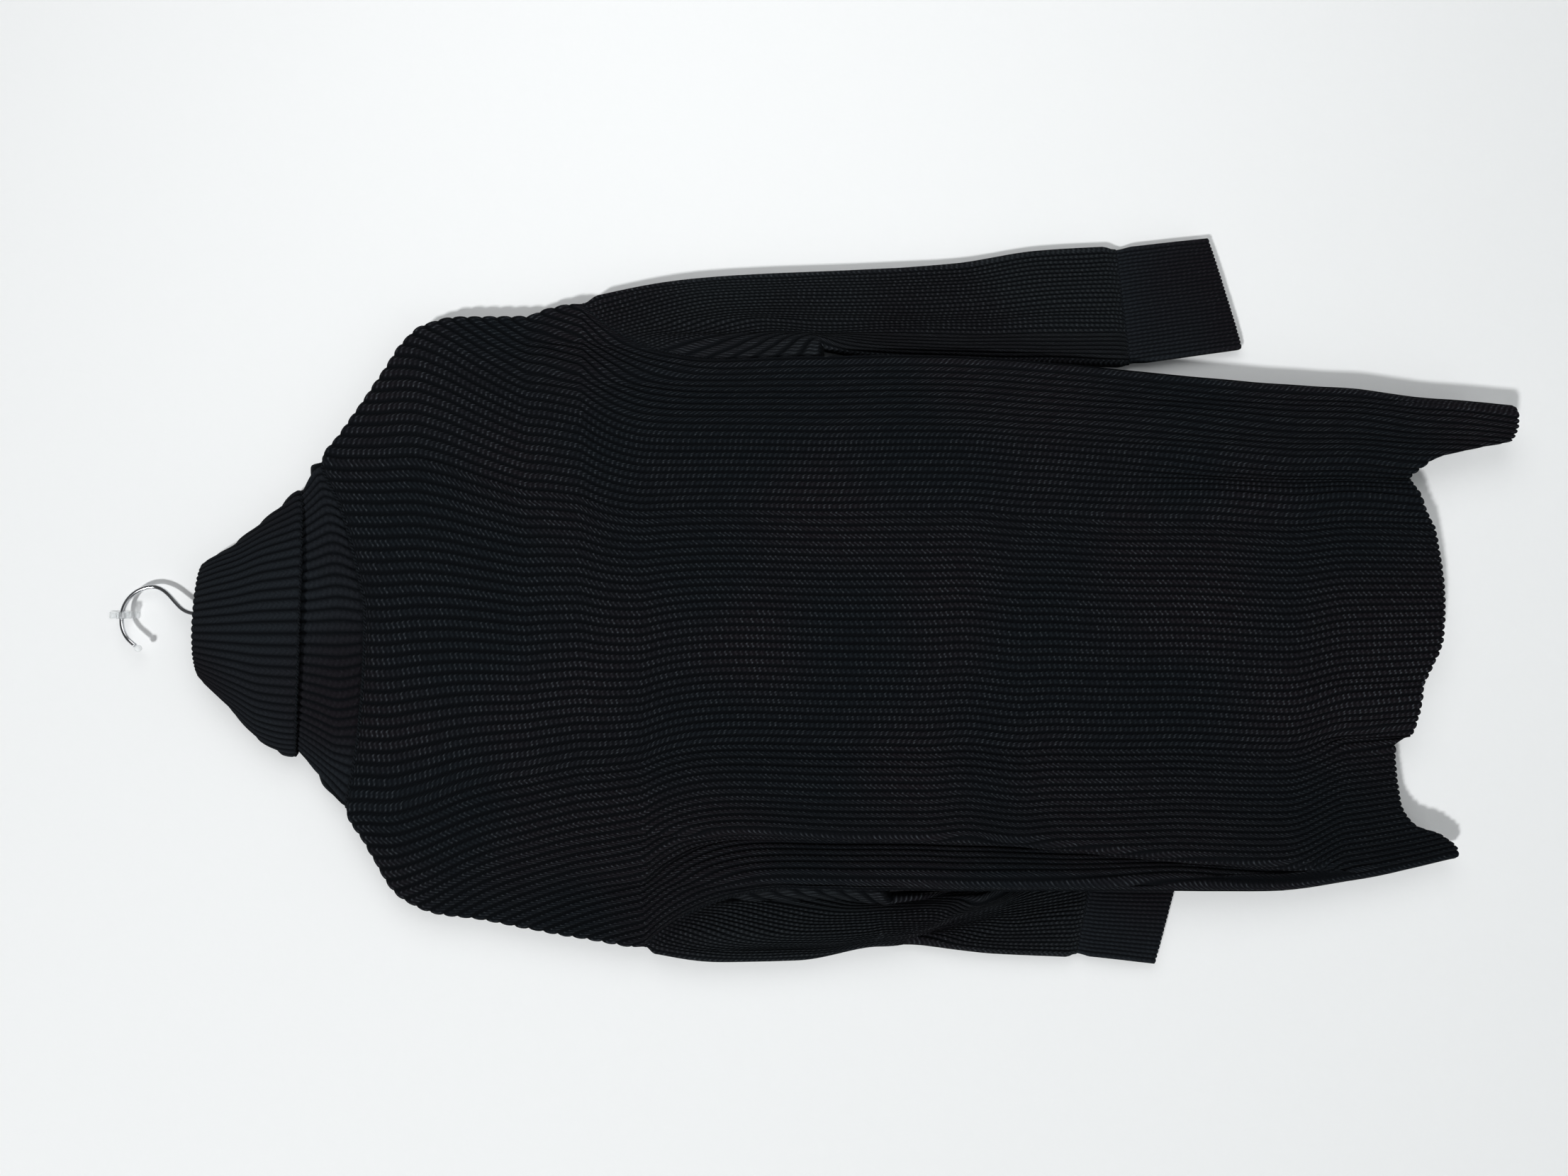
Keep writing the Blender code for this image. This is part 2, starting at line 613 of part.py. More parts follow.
def ring_points(ring, count, cloth):
    """Points round a flattened tube, from its outer edge by way of the room side."""
    turn = np.arange(count) * 2 * math.pi / count
    outer = np.array([ring.out_x, ring.out_depth, ring.out_z])
    inner = np.array([ring.in_x, ring.in_depth, ring.in_z])
    axis = (outer - inner) / np.linalg.norm(outer - inner)
    outer, inner = outer - axis * cloth, inner + axis * cloth
    centre, arm = (outer + inner) / 2, (outer - inner) / 2
    swell = np.where(np.sin(turn) > 0, ring.swell_room, ring.swell_wall)
    lift = np.sign(np.sin(turn)) * np.abs(np.sin(turn)) ** 0.6 * swell
    across = np.sign(np.cos(turn)) * np.abs(np.cos(turn)) ** 0.9
    # Even spacing along the flattened ring.
    dense = centre + across[:, None] * arm + lift[:, None] * np.array([0.0, 1.0, 0.0])
    return dense


def even_ring(points):
    """The same ring with its points at even lengths."""
    loop = np.concatenate([points, points[:1]])
    return spaced(loop, len(points))[:-1]


def tube_grid(rings, count, cloth, first=None):
    """Rows round a sleeve or cuff, with the armhole ring first where there is one."""
    rows = [even_ring(ring_points(ring, 4 * count, cloth))[::4] for ring in rings]
    if first is not None:
        rows.insert(0, first)
    return np.stack(rows)


def shift_first_row(grid, gap):
    """Moves the first row off its seam, square to the seam."""
    along = unit(np.roll(grid[0], -1, axis=0) - np.roll(grid[0], 1, axis=0))
    step = grid[1] - grid[0]
    step = step - np.sum(step * along, axis=1, keepdims=True) * along
    grid[0] += unit(step) * gap
    return grid


def cuff_cloth(rings, left):
    """A cuff's cloth."""
    grid = shift_first_row(tube_grid(rings, 2 * CUFF_RIBS, FINE_WALL + FINE_RISE), SEAM_GAP)
    thickness = rib_thickness(len(grid), 2 * CUFF_RIBS, FINE_WALL, FINE_RISE)
    return Cloth(grid, normals_of(grid, 1 if left else -1, True), thickness)


def hoop_points(hoop, count, cloth):
    """Points round one level of the collar, from the middle of its room side."""
    share = np.arange(count) / count
    offset = np.where(share > 0.5, share - 1, share)
    bias = (math.pi / 2 - math.pi * hoop.share) / math.sin(math.pi * hoop.share)
    turn = 2 * math.pi * offset + bias * np.sin(2 * math.pi * offset)
    left, right = hoop.left + cloth, hoop.right - cloth
    centre, reach = (left + right) / 2, (right - left) / 2
    facing = np.cos(turn)
    x = centre + reach * np.sign(np.sin(turn)) * np.abs(np.sin(turn)) ** 0.95
    to_room = hoop.room - hoop.side
    to_wall = hoop.side - hoop.wall
    away = np.where(facing > 0, to_room * np.abs(facing) ** 1.1, -to_wall * np.abs(facing) ** 0.35)
    depth = hoop.side + away
    slant = (x - left) / (right - left)
    z = hoop.left_z + (hoop.right_z - hoop.left_z) * slant - hoop.sag * np.maximum(facing, 0.0)
    return np.stack([x, depth, z], axis=1)


def neck_arc(panel, cloth, count):
    """A panel's neck edge from left to right, lifted clear of the cloth it is linked to."""
    picks = panel_picks()
    rim = np.interp(np.arange(cloth.grid.shape[1]), picks, cloth.grid[0, picks, 2])
    top = np.maximum(rim, np.maximum(cloth.grid[0, :, 2], cloth.outside()[0, :, 2]))
    top = np.maximum(top, np.maximum(np.roll(top, 1), np.roll(top, -1))) + SEAM_GAP
    x = panel.top[:, 0]
    inside = (x >= panel.neck_left) & (x <= panel.neck_right)
    line = np.stack([cloth.grid[0, :, 0], cloth.grid[0, :, 1], top], axis=1)[inside]
    return spaced(line, count)


def neck_ring(room_arc, wall_arc, count, share):
    """The ring on which the collar is linked, from the middle of the room side to the right."""
    ring = np.empty((count, 3))
    for k in range(count):
        offset = k / count if k <= count / 2 else k / count - 1
        past = abs(offset) - share / 2
        if past <= 0:
            arc, along = room_arc, 0.5 + offset / share
        else:
            part = past / (0.5 - share / 2) / 2
            arc, along = wall_arc, 1 - part if offset > 0 else part
        at = along * (len(arc) - 1)
        ring[k] = [np.interp(at, np.arange(len(arc)), arc[:, axis]) for axis in range(3)]
    return ring


def build_collar(room, room_cloth, wall, wall_cloth, finish):
    """The folded collar as one closed wall: up the stand, over the fold and down the flap."""
    count = 2 * COLLAR_RIBS
    arcs = [neck_arc(panel, cloth, 200) for panel, cloth in ((room, room_cloth), (wall, wall_cloth))]
    rows = [neck_ring(arcs[0], arcs[1], count, COLLAR_STAND[0].share)]
    rows += [hoop_points(hoop, count, CLOTH) for hoop in COLLAR_STAND]
    stand = np.stack(rows)
    normal = normals_of(stand, -1, True)
    # The rim over the seam stays level, so that it clears the panels' own rims.
    normal[0, :, 2] = np.maximum(normal[0, :, 2], 0.0)
    normal[0] = unit(normal[0])
    stand_out = Cloth(stand, normal, rib_thickness(len(stand), count, WALL, RIB_RISE))
    flap = np.stack([hoop_points(hoop, count, CLOTH) for hoop in COLLAR_FLAP])
    flap_out = Cloth(flap, normals_of(flap, -1, True), rib_thickness(len(flap), count, WALL, RIB_RISE))
    crown = hoop_points(COLLAR_CROWN, count, 0.0)
    crown[:, 2] += RIB_RISE * (np.arange(count) % 2)
    picks = list(range(0, count, 4))
    bm = bmesh.new()
    a = [[place(bm, p) for p in row] for row in stand_out.outside()]
    b = [[place(bm, row[k]) for k in picks] for row in stand]
    c = [[place(bm, row[k]) for k in picks] for row in flap]
    d = [[place(bm, p) for p in row] for row in flap_out.outside()]
    top = [place(bm, p) for p in crown]
    for rows in (a, b, c, d):
        for r in range(len(rows) - 1):
            fill_rows(bm, rows[r], rows[r + 1], True)
    fill_rows(bm, d[-1], top, True)
    zip_rows(bm, a[0], b[0], picks, True, False)
    zip_rows(bm, a[-1], c[-1], picks, True, False)
    zip_rows(bm, d[0], c[0], picks, True, False)
    zip_rows(bm, top, b[-1], picks, True, False)
    return mesh_object("collar", bm, finish, RIB_CREASE)


def sweep(rings, name, finish):
    """A solid through rings of points, closed at both ends."""
    bm = bmesh.new()
    made = [[place(bm, p) for p in ring] for ring in rings]
    for before, after in zip(made, made[1:]):
        fill_rows(bm, before, after, True)
    bm.faces.new(made[0])
    bm.faces.new(made[-1][::-1])
    return mesh_object(name, bm, finish, 40)


def build_hanger(finish):
    """The hanger's body: two arms, thicker at the middle, rounded off at the ends."""
    table = np.array(HANGER_ARM)
    half = np.concatenate([[0.0, 0.04], np.linspace(0.08, 0.99, ARM_RINGS), [1.0]])
    places = np.concatenate([-half[:0:-1], half]) * table[-1, 0]
    z = smooth(np.abs(places), table[:, 0], table[:, 1]) - places * math.tan(math.radians(HANGER_TILT))
    slope = np.arctan2(np.gradient(z), np.gradient(places))
    boss = 1 - ease((np.abs(places) / BOSS_HALF_WIDTH - 0.5) / 1.0)
    end = np.where(np.abs(places) > table[-1, 0] - 0.5, 0.55, 1.0)
    turn = (np.arange(ARM_SIDES) + 0.5) * 2 * math.pi / ARM_SIDES
    rings = []
    for k, x in enumerate(places):
        up = (ARM_HEIGHT + (BOSS_HEIGHT - ARM_HEIGHT) * boss[k]) / 2 * end[k] * np.sin(turn)
        out = ARM_THICKNESS / 2 * end[k] * np.cos(turn)
        spot = (x - up * math.sin(slope[k]), z[k] + up * math.cos(slope[k]))
        rings.append(np.stack([spot[0], HANGER_DEPTH + out, spot[1]], axis=1))
    return sweep(rings, "hanger_body", finish)


def wire_path():
    """The middle of the wire, as (x, depth, z)."""
    stem = [(point.x, point.depth, point.z) for point in WIRE_STEM]
    round_part = []
    for angle in np.linspace(HOOK_START, HOOK_END, HOOK_STEPS):
        depth = np.interp(angle, (HOOK_START, 90.0, HOOK_END), (BEND_DEPTH, CROWN_DEPTH, TAIL_DEPTH))
        x = HOOK_CENTRE_X + HOOK_RADIUS * math.cos(math.radians(angle))
        z = HOOK_CENTRE_Z + HOOK_RADIUS * math.sin(math.radians(angle))
        round_part.append((x, depth, z))
    end = math.radians(HOOK_END)
    tail = (
        round_part[-1][0] - TAIL_LENGTH * math.sin(end),
        TAIL_DEPTH,
        round_part[-1][2] + TAIL_LENGTH * math.cos(end),
    )
    return np.array(stem + round_part + [tail])


def build_wire_hook(chrome, clear):
    """The chrome hook and the clear ball on its end."""
    path = wire_path()
    forward = unit(np.gradient(path, axis=0))
    sideways = unit(np.cross(forward, np.array([0.0, 1.0, 0.0])))
    upward = np.cross(sideways, forward)
    turn = np.arange(WIRE_SIDES) * 2 * math.pi / WIRE_SIDES
    rings = []
    for k in range(len(path)):
        ring = np.cos(turn)[:, None] * sideways[k] + np.sin(turn)[:, None] * upward[k]
        rings.append(path[k] + WIRE_RADIUS * ring)
    sweep(rings, "wire_hook", chrome)
    centre = path[-1] + unit(path[-1] - path[-2]) * (TIP_RADIUS + SEAM_GAP)
    bm = bmesh.new()
    bmesh.ops.create_uvsphere(bm, u_segments=12, v_segments=8, radius=TIP_RADIUS * MM)
    bmesh.ops.translate(bm, verts=bm.verts, vec=(centre[0] * MM, -centre[1] * MM, centre[2] * MM))
    mesh_object("hook_tip", bm, clear, 40)


def build_wall_hook(finish):
    """A flat plate with an arm and a small lip, all of one width."""
    lip_inside = HOOK_ARM_REACH - HOOK_LIP_THICKNESS
    outline = (
        (0.0, PLATE_FOOT),
        (0.0, PLATE_TOP),
        (PLATE_THICKNESS, PLATE_TOP),
        (PLATE_THICKNESS, HOOK_ARM_TOP),
        (lip_inside, HOOK_ARM_TOP),
        (lip_inside, HOOK_ARM_TOP + HOOK_LIP_RISE),
        (HOOK_ARM_REACH, HOOK_ARM_TOP + HOOK_LIP_RISE),
        (HOOK_ARM_REACH, HOOK_ARM_TOP - HOOK_ARM_THICKNESS),
        (PLATE_THICKNESS, HOOK_ARM_TOP - HOOK_ARM_THICKNESS),
        (PLATE_THICKNESS, PLATE_FOOT),
    )
    bm = bmesh.new()
    sides = [
        [place(bm, (side * HOOK_WIDTH / 2, depth, z)) for depth, z in outline] for side in (-1, 1)
    ]
    fill_rows(bm, sides[0], sides[1], True)
    bm.faces.new(sides[0])
    bm.faces.new(sides[1][::-1])
    mesh_object("wall_hook", bm, finish, 30)


def main():
    for old in list(bpy.data.objects):
        bpy.data.objects.remove(old)
    yarn = {
        name: material(name, YARN_COLOUR, 0.9)
        for name in ("back_yarn", "front_yarn", "sleeve_yarn", "cuff_yarn", "collar_yarn")
    }
    room = Panel(1, ROOM_NECK, ROOM_HEM, ROOM_FOLDS)
    wall = Panel(-1, WALL_NECK, WALL_HEM, WALL_FOLDS)
    room_cloth = panel_cloth(room)
    wall_cloth = panel_cloth(wall)
    sleeve_picks = list(range(0, 2 * SLEEVE_RIBS, 4))
    cuff_picks = list(range(0, 2 * CUFF_RIBS, 4))
    for left, sleeve, cuff, side in (
        (True, LEFT_SLEEVE, LEFT_CUFF, "left"),
        (False, RIGHT_SLEEVE, RIGHT_CUFF, "right"),
    ):
        cloth = sleeve_cloth(room_cloth, wall_cloth, left, sleeve)
        wall_object(f"{side}_sleeve", cloth.grid, cloth.outside(), sleeve_picks, True, yarn["sleeve_yarn"])
        cloth = cuff_cloth(cuff, left)
        wall_object(f"{side}_cuff", cloth.grid, cloth.outside(), cuff_picks, True, yarn["cuff_yarn"])
    for name, cloth, finish in (
        ("back_panel", room_cloth, yarn["back_yarn"]),
        ("front_panel", wall_cloth, yarn["front_yarn"]),
    ):
        wall_object(name, cloth.grid, cloth.outside(), panel_picks(), False, finish)
    build_collar(room, room_cloth, wall, wall_cloth, yarn["collar_yarn"])
    build_hanger(material("clear_plastic", CLEAR_COLOUR, 0.15))
    build_wire_hook(
        material("chrome", CHROME_COLOUR, 0.2, metallic=1.0), material("clear_tip", CLEAR_COLOUR, 0.15)
    )
    build_wall_hook(material("clear_wall_hook", CLEAR_COLOUR, 0.15))


if __name__ == "__main__":
    main()
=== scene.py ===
"""The looks of a long, chunky ribbed turtleneck sweater on a hanger, hung from a small wall hook.

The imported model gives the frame. Each knitted piece is built again here as a thin sheet on the form
of its solid: real ribs in relief, stitches in the finish, rolled edges at hem, cuffs and collar,
linked seams and the creases that the cloth takes as it hangs. Sizes are in millimetres and become
metres in the meshes.

Axes: the wall is the plane Y = 0, the room is at -Y and +Z is up. "Depth" is the distance off the
wall, so a place is worked out as (x, depth, z).
"""

import logging
import math
from dataclasses import astuple, dataclass, field
from enum import Enum, IntEnum

import bmesh
import bpy
import numpy as np
from mathutils import Matrix, Vector


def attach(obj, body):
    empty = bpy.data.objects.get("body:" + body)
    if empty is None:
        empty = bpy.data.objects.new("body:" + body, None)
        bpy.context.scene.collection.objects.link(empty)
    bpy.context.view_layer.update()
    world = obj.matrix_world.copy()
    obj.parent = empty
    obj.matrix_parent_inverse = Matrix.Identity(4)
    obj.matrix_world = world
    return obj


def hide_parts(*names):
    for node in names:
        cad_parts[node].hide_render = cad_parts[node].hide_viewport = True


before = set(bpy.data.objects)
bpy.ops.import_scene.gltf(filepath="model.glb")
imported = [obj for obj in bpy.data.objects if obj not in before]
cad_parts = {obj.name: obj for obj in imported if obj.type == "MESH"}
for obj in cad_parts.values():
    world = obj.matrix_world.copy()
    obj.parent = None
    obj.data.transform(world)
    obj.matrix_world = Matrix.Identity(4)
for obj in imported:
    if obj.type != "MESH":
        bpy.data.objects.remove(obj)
log = logging.getLogger("sweater")

MM = 0.001
Array = np.ndarray


class Side(Enum):
    """The way that a body panel faces."""

    ROOM = 1
    WALL = -1


class Hand(Enum):
    """The side of the garment, as someone who faces the wall sees it."""

    LEFT = -1
    RIGHT = 1


@dataclass(frozen=True)
class EdgePoint:
    """A place on the shoulder line, neck or hem."""

    x: float
    z: float


@dataclass(frozen=True)
class Level:
    """The body at one height: its outer edges, and the depths of the plain insides of both panels."""

    z: float
    left: float
    right: float
    room_left: float
    room_mid: float
    room_right: float
    wall_left: float
    wall_mid: float
    wall_right: float


@dataclass(frozen=True)
class Fold:
    """A soft ridge (rise above zero) or trough that hangs in the cloth and fades out at both ends."""

    top_x: float
    top_z: float
    foot_x: float
    foot_z: float
    half_width: float
    rise: float
    fade: float
    skew: float = 1.0  # the width of its right half, as a share of its left half


@dataclass(frozen=True)
class Ring:
    """A section of a sleeve or cuff: its outer and inner edges, and the swell of each side."""

    out_x: float
    out_z: float
    out_depth: float
    in_x: float
    in_z: float
    in_depth: float
    swell_room: float
    swell_wall: float


@dataclass(frozen=True)
class Hoop:
    """A section of the collar: its outer edges, its depths, and the share of ribs on its room side."""

    left: float
    right: float
    left_z: float
    right_z: float
    sag: float
    side: float
    room: float
    wall: float
    share: float


@dataclass(frozen=True)
class WirePoint:
    """A place on the middle of the hanger's wire."""

    x: float
    z: float
    depth: float


@dataclass(frozen=True)
class Dress:
    """What a piece is finished in, and the solid and slot that it stands for, if any."""

    finish: bpy.types.Material
    node: str = ""
    slot: str = ""


def edge_line(*places: tuple[float, float]) -> tuple[EdgePoint, ...]:
    """A line of edge points at these (x, z)."""
    return tuple(EdgePoint(x, z) for x, z in places)


KNIT_MAP = "Knit"  # the UV map that counts ribs across and stitches along

# The cloth.
WALL = 2.9  # the knitted ground, between the plain inside and the grooves
RIB_RISE = 2.0
RIB_POWER = 0.6  # makes a rib fuller than a half circle
RIB_UNEVEN = 0.13  # the share by which ribs differ in height
RIB_WAVER, RIB_WAVE = 0.6, 130.0  # how far the ribs stray sideways, and over what length
FACE_WAVER, FACE_WAVE = 0.8, 70.0  # the same for the cloth's face
THICK_WAVER, THICK_WAVE = 0.08, 60.0  # and for its thickness, as a share
HEM_GAP = 0.3  # between the plain inside and the cloth turned up inside the hem
CLOTH = 4.1  # the whole cloth, as it stands inside the outer edges of the tables
FINE_WALL = 2.0  # the same three for the cuffs' fine rib
FINE_RISE = 1.1
FINE_CLOTH = 3.2
SEAM_WALL = 0.9  # the cloth is drawn down to this where it is linked
COURSE = 3.75  # height of one row of stitches

# How the panels turn over the hanger's arms and the dropped shoulders.
HANGER_DEPTH = 14.0
ARM_TURN = 7.0
DROP_TURN = 5.0
NECK_TURN_START = 22.0  # the turn begins this far inside the neck's corners
NECK_TURN_RUN = 34.0
DROP_LEFT = -206.0  # beyond these the shoulder has dropped past the hanger
DROP_RIGHT = 205.0
DROP_Z = -216.0
DROP_RUN = 30.0

# How the ribs run through the yoke.
ARMHOLE_LEAN = 47.0  # degrees
ARMHOLE_PULL = 1.15
ARMHOLE_STEPS = 800
NECK_STEPS = 400
SHOULDER_RUN = 120.0  # the height over which the ribs leave their places on the shoulder line
FLOW_TOP_Z = -260.0
FLOW_RUN = 200.0
EDGE_FADE = 21.0  # folds fade out over one part in this of the width

# The shoulder line and the neck, on the plain inside of the cloth.
LEFT_SHOULDER = edge_line(
    (-240.0, -389.0), (-235.0, -362.0), (-227.6, -317.5), (-219.0, -271.0), (-214.3, -236.5),
    (-206.2, -216.3), (-198.3, -206.8), (-165.0, -187.0), (-140.0, -173.0),
)
RIGHT_SHOULDER = edge_line(
    (112.5, -155.5), (130.8, -168.3), (175.0, -199.2), (197.5, -214.5), (209.7, -229.3),
    (215.0, -255.5), (215.0, -301.6), (220.2, -317.5), (226.0, -344.0),
)
ROOM_NECK = edge_line(
    (-116.0, -178.5), (-76.5, -184.0), (-39.0, -187.0), (0.0, -188.0), (40.0, -181.0),
    (80.0, -170.0),
)
WALL_NECK = edge_line(
    (-116.0, -184.0), (-76.5, -200.0), (-39.0, -211.0), (0.0, -213.0), (40.0, -203.0),
    (80.0, -182.0),
)

# The body below the underarms. A level's fields are: z; left, right; the room panel's depths at the
# left, middle and right; the wall panel's.
LEVELS = (
    Level(-500, -200, 189, 26.0, 21.0, 26.0, 17.6, 7.0, 17.6),
    Level(-570, -200, 190, 27.0, 22.0, 27.0, 17.6, 6.5, 17.6),
    Level(-630, -200, 188, 28.0, 23.0, 28.0, 17.6, 6.5, 17.6),
    Level(-690, -200, 183, 28.0, 23.5, 29.0, 17.6, 6.5, 17.6),
    Level(-760, -200, 176, 27.5, 24.0, 29.0, 17.6, 6.5, 17.6),
    Level(-840, -201, 169, 24.0, 25.0, 29.0, 13.0, 7.0, 17.0),
    Level(-900, -194, 165, 21.5, 25.0, 28.5, 10.5, 8.0, 17.0),
    Level(-945, -185, 159, 20.5, 25.0, 28.0, 10.0, 9.0, 17.5),
    Level(-975, -178, 157, 20.0, 25.0, 28.0, 10.5, 9.0, 18.0),
    Level(-1014, -172, 153, 20.0, 25.0, 28.0, 11.0, 9.0, 18.5),
)
LEFT_UNDERARM_Z = -562.0
RIGHT_UNDERARM_Z = -517.0

ROOM_HEM = edge_line(
    (-190.0, -978.0), (-174.0, -976.0), (-160.0, -964.0), (-148.0, -944.0), (-131.0, -934.0),
    (-92.0, -929.0), (-84.0, -941.0), (-54.0, -947.0), (-17.0, -962.0), (12.0, -963.5),
    (60.0, -957.0), (82.0, -946.0), (100.0, -941.0), (111.0, -952.0), (121.0, -985.0),
    (130.0, -1010.0), (145.0, -1014.0), (170.0, -1010.0),
)
WALL_HEM = edge_line(
    (-190.0, -978.0), (-172.0, -970.0), (-140.0, -926.0), (0.0, -922.0), (110.0, -930.0),
    (136.0, -996.0), (170.0, -1010.0),
)

# Folds that hang in the body panels.
ROOM_FOLDS = (
    Fold(-186, -380, -190, -960, 10, 3.0, 100),  # band along the left side
    Fold(-158, -410, -164, -640, 21, -14.0, 110, 0.3),  # long valley inside that band
    Fold(-164, -640, -186, -880, 21, -12.0, 60, 0.3),
    Fold(-120, -430, -118, -800, 24, 2.5, 120),
    Fold(-88, -880, -86, -980, 10, -4.0, 30),  # small step in the hem
    Fold(-60, -860, -62, -980, 16, 3.0, 60),
    Fold(-20, -560, 10, -900, 40, 2.0, 120),
    Fold(70, -700, 84, -980, 18, 2.5, 120),
    Fold(100, -760, 97, -980, 15, -7.0, 110),  # valley beside the right leg
    Fold(137, -720, 140, -1000, 16, 3.0, 110),  # the right leg itself
    Fold(178, -300, 174, -430, 12, 4.0, 40),  # lip of the right armhole crease
    Fold(197, -300, 194, -400, 11, -3.5, 40),
    Fold(120, -380, 150, -640, 26, 2.0, 100),
)
WALL_FOLDS = (
    Fold(-163, -520, -176, -840, 20, 8.0, 100),  # the same valley, seen from behind
    Fold(-165, -390, -170, -560, 18, 2.5, 100),
    Fold(-120, -420, -96, -900, 22, -5.0, 110),
    Fold(-40, -520, -30, -940, 24, 1.5, 120),
    Fold(40, -460, 60, -900, 24, -4.0, 120),
    Fold(100, -600, 96, -940, 18, 1.5, 110),
)

# Sleeves and cuffs, from the armhole down.
LEFT_SLEEVE = (
    Ring(-248.5, -440, 14.5, -205.5, -573, 10.0, 4.5, 2.5),
    Ring(-247.5, -495, 14.0, -204.5, -596, 8.0, 5.5, 2.0),
    Ring(-237.5, -556, 14.0, -203.0, -630, 7.2, 6.5, 2.0),
    Ring(-239.0, -578, 9.0, -200.0, -648, 7.2, 2.0, 1.5),
    Ring(-248.0, -642, 8.0, -178.0, -684, 7.0, 1.5, 1.5),
    Ring(-252.0, -704, 7.0, -158.0, -722, 7.0, 1.5, 1.5),
)
RIGHT_SLEEVE = (
    Ring(241.0, -410, 14.5, 196.5, -520, 10.5, 4.0, 2.5),
    Ring(246.5, -470, 13.5, 191.0, -548, 8.5, 4.0, 2.5),
    Ring(250.5, -536, 12.5, 187.5, -580, 7.6, 3.5, 2.5),
    Ring(257.0, -611, 10.5, 184.0, -640, 7.0, 2.0, 1.6),
    Ring(267.8, -674, 8.5, 182.0, -700, 7.0, 1.6, 1.5),
    Ring(272.0, -733, 7.0, 180.5, -744, 7.0, 1.5, 1.5),
)
LEFT_CUFF = (
    Ring(-250.5, -704.3, 6.8, -160.5, -722.3, 6.8, 2.0, 2.0),
    Ring(-257.0, -760.0, 6.4, -156.0, -786.0, 6.4, 2.1, 2.1),
)
RIGHT_CUFF = (
    Ring(270.5, -733.3, 6.8, 182.5, -744.3, 6.8, 2.0, 2.0),
    Ring(277.5, -799.0, 6.6, 194.0, -825.0, 6.6, 2.2, 2.2),
)

# Collar: the stand from the neck seam up, the flap from its edge up, and the fold.
COLLAR_STAND = (
    Hoop(-126, 111, -157.5, -149.0, 17.0, 13.0, 28.5, 10.2, 0.54),
    Hoop(-111, 100, -147.5, -145.5, 10.0, 13.0, 32.0, 10.2, 0.53),
    Hoop(-98, 86, -136.5, -137.5, 6.0, 13.0, 32.5, 10.2, 0.51),
    Hoop(-83, 64, -115.0, -113.0, 0.0, 13.0, 30.5, 10.2, 0.46),
    Hoop(-54, 41, -85.0, -83.0, -3.0, 13.0, 27.0, 10.2, 0.40),
)
COLLAR_FLAP = (
    Hoop(-103.5, 92, -132.0, -138.0, 10.5, 13.0, 38.5, 4.8, 0.49),
    Hoop(-102.6, 87, -127.0, -131.0, 10.0, 13.0, 39.5, 4.8, 0.485),
    Hoop(-92.8, 72, -110.3, -114.0, 8.5, 12.5, 39.0, 4.8, 0.45),
    Hoop(-74.7, 57, -93.5, -95.5, 6.5, 12.5, 37.0, 4.8, 0.42),
    Hoop(-57.2, 47.5, -77.5, -81.0, 4.0, 12.5, 33.0, 5.0, 0.385),
)
COLLAR_CROWN = Hoop(-46.2, 37.5, -65.0, -66.0, 0.5, 12.5, 28.0, 7.0, 0.37)
COLLAR_MIDDLE = -12.0  # where the middle rib of the room side runs

# The hanger's wire, from its foot to the round hook.
WIRE_STEM = (
    WirePoint(0.0, -104.2, 14.0), WirePoint(0.2, -70.0, 13.4), WirePoint(1.2, -58.5, 12.8),
    WirePoint(3.7, -51.3, 12.2), WirePoint(9.4, -45.1, 11.0), WirePoint(15.2, -39.4, 9.4),
    WirePoint(19.2, -33.6, 7.8),
)

# Folds in the sleeves, on their room side.
LEFT_SLEEVE_FOLDS = (
    Fold(-207.0, -440.0, -206.0, -600.0, 13.0, -8.0, 60.0),  # hollow beside the armhole seam
    Fold(-229.0, -410.0, -226.0, -575.0, 13.0, 4.5, 60.0),  # the layer that laps over the lower arm
    Fold(-225.0, -560.0, -199.0, -655.0, 11.0, 6.0, 40.0),
    Fold(-240.0, -570.0, -218.0, -650.0, 12.0, -3.5, 30.0),
    Fold(-216.0, -665.0, -206.0, -712.0, 14.0, -1.5, 30.0),
)
RIGHT_SLEEVE_FOLDS = (
    Fold(204.0, -400.0, 206.0, -540.0, 10.0, -4.0, 60.0),  # crease beside the armhole seam
    Fold(228.0, -380.0, 232.0, -620.0, 14.0, 2.0, 100.0),
    Fold(214.0, -560.0, 222.0, -730.0, 12.0, -1.8, 80.0),
)


def hermite(t: Array, ends: tuple[Array, Array], slopes: tuple[Array, Array]) -> Array:
    """The cubic between two values that leaves and reaches them at the slopes given.

    Args:
        t: How far along, 0 to 1.
        ends: The values at the start and at the end.
        slopes: The slopes there, for the whole way from start to end.

    Returns:
        The values at t.
    """
    return (
        (2 * t**3 - 3 * t**2 + 1) * ends[0]
        + (t**3 - 2 * t**2 + t) * slopes[0]
        + (3 * t**2 - 2 * t**3) * ends[1]
        + (t**3 - t**2) * slopes[1]
    )


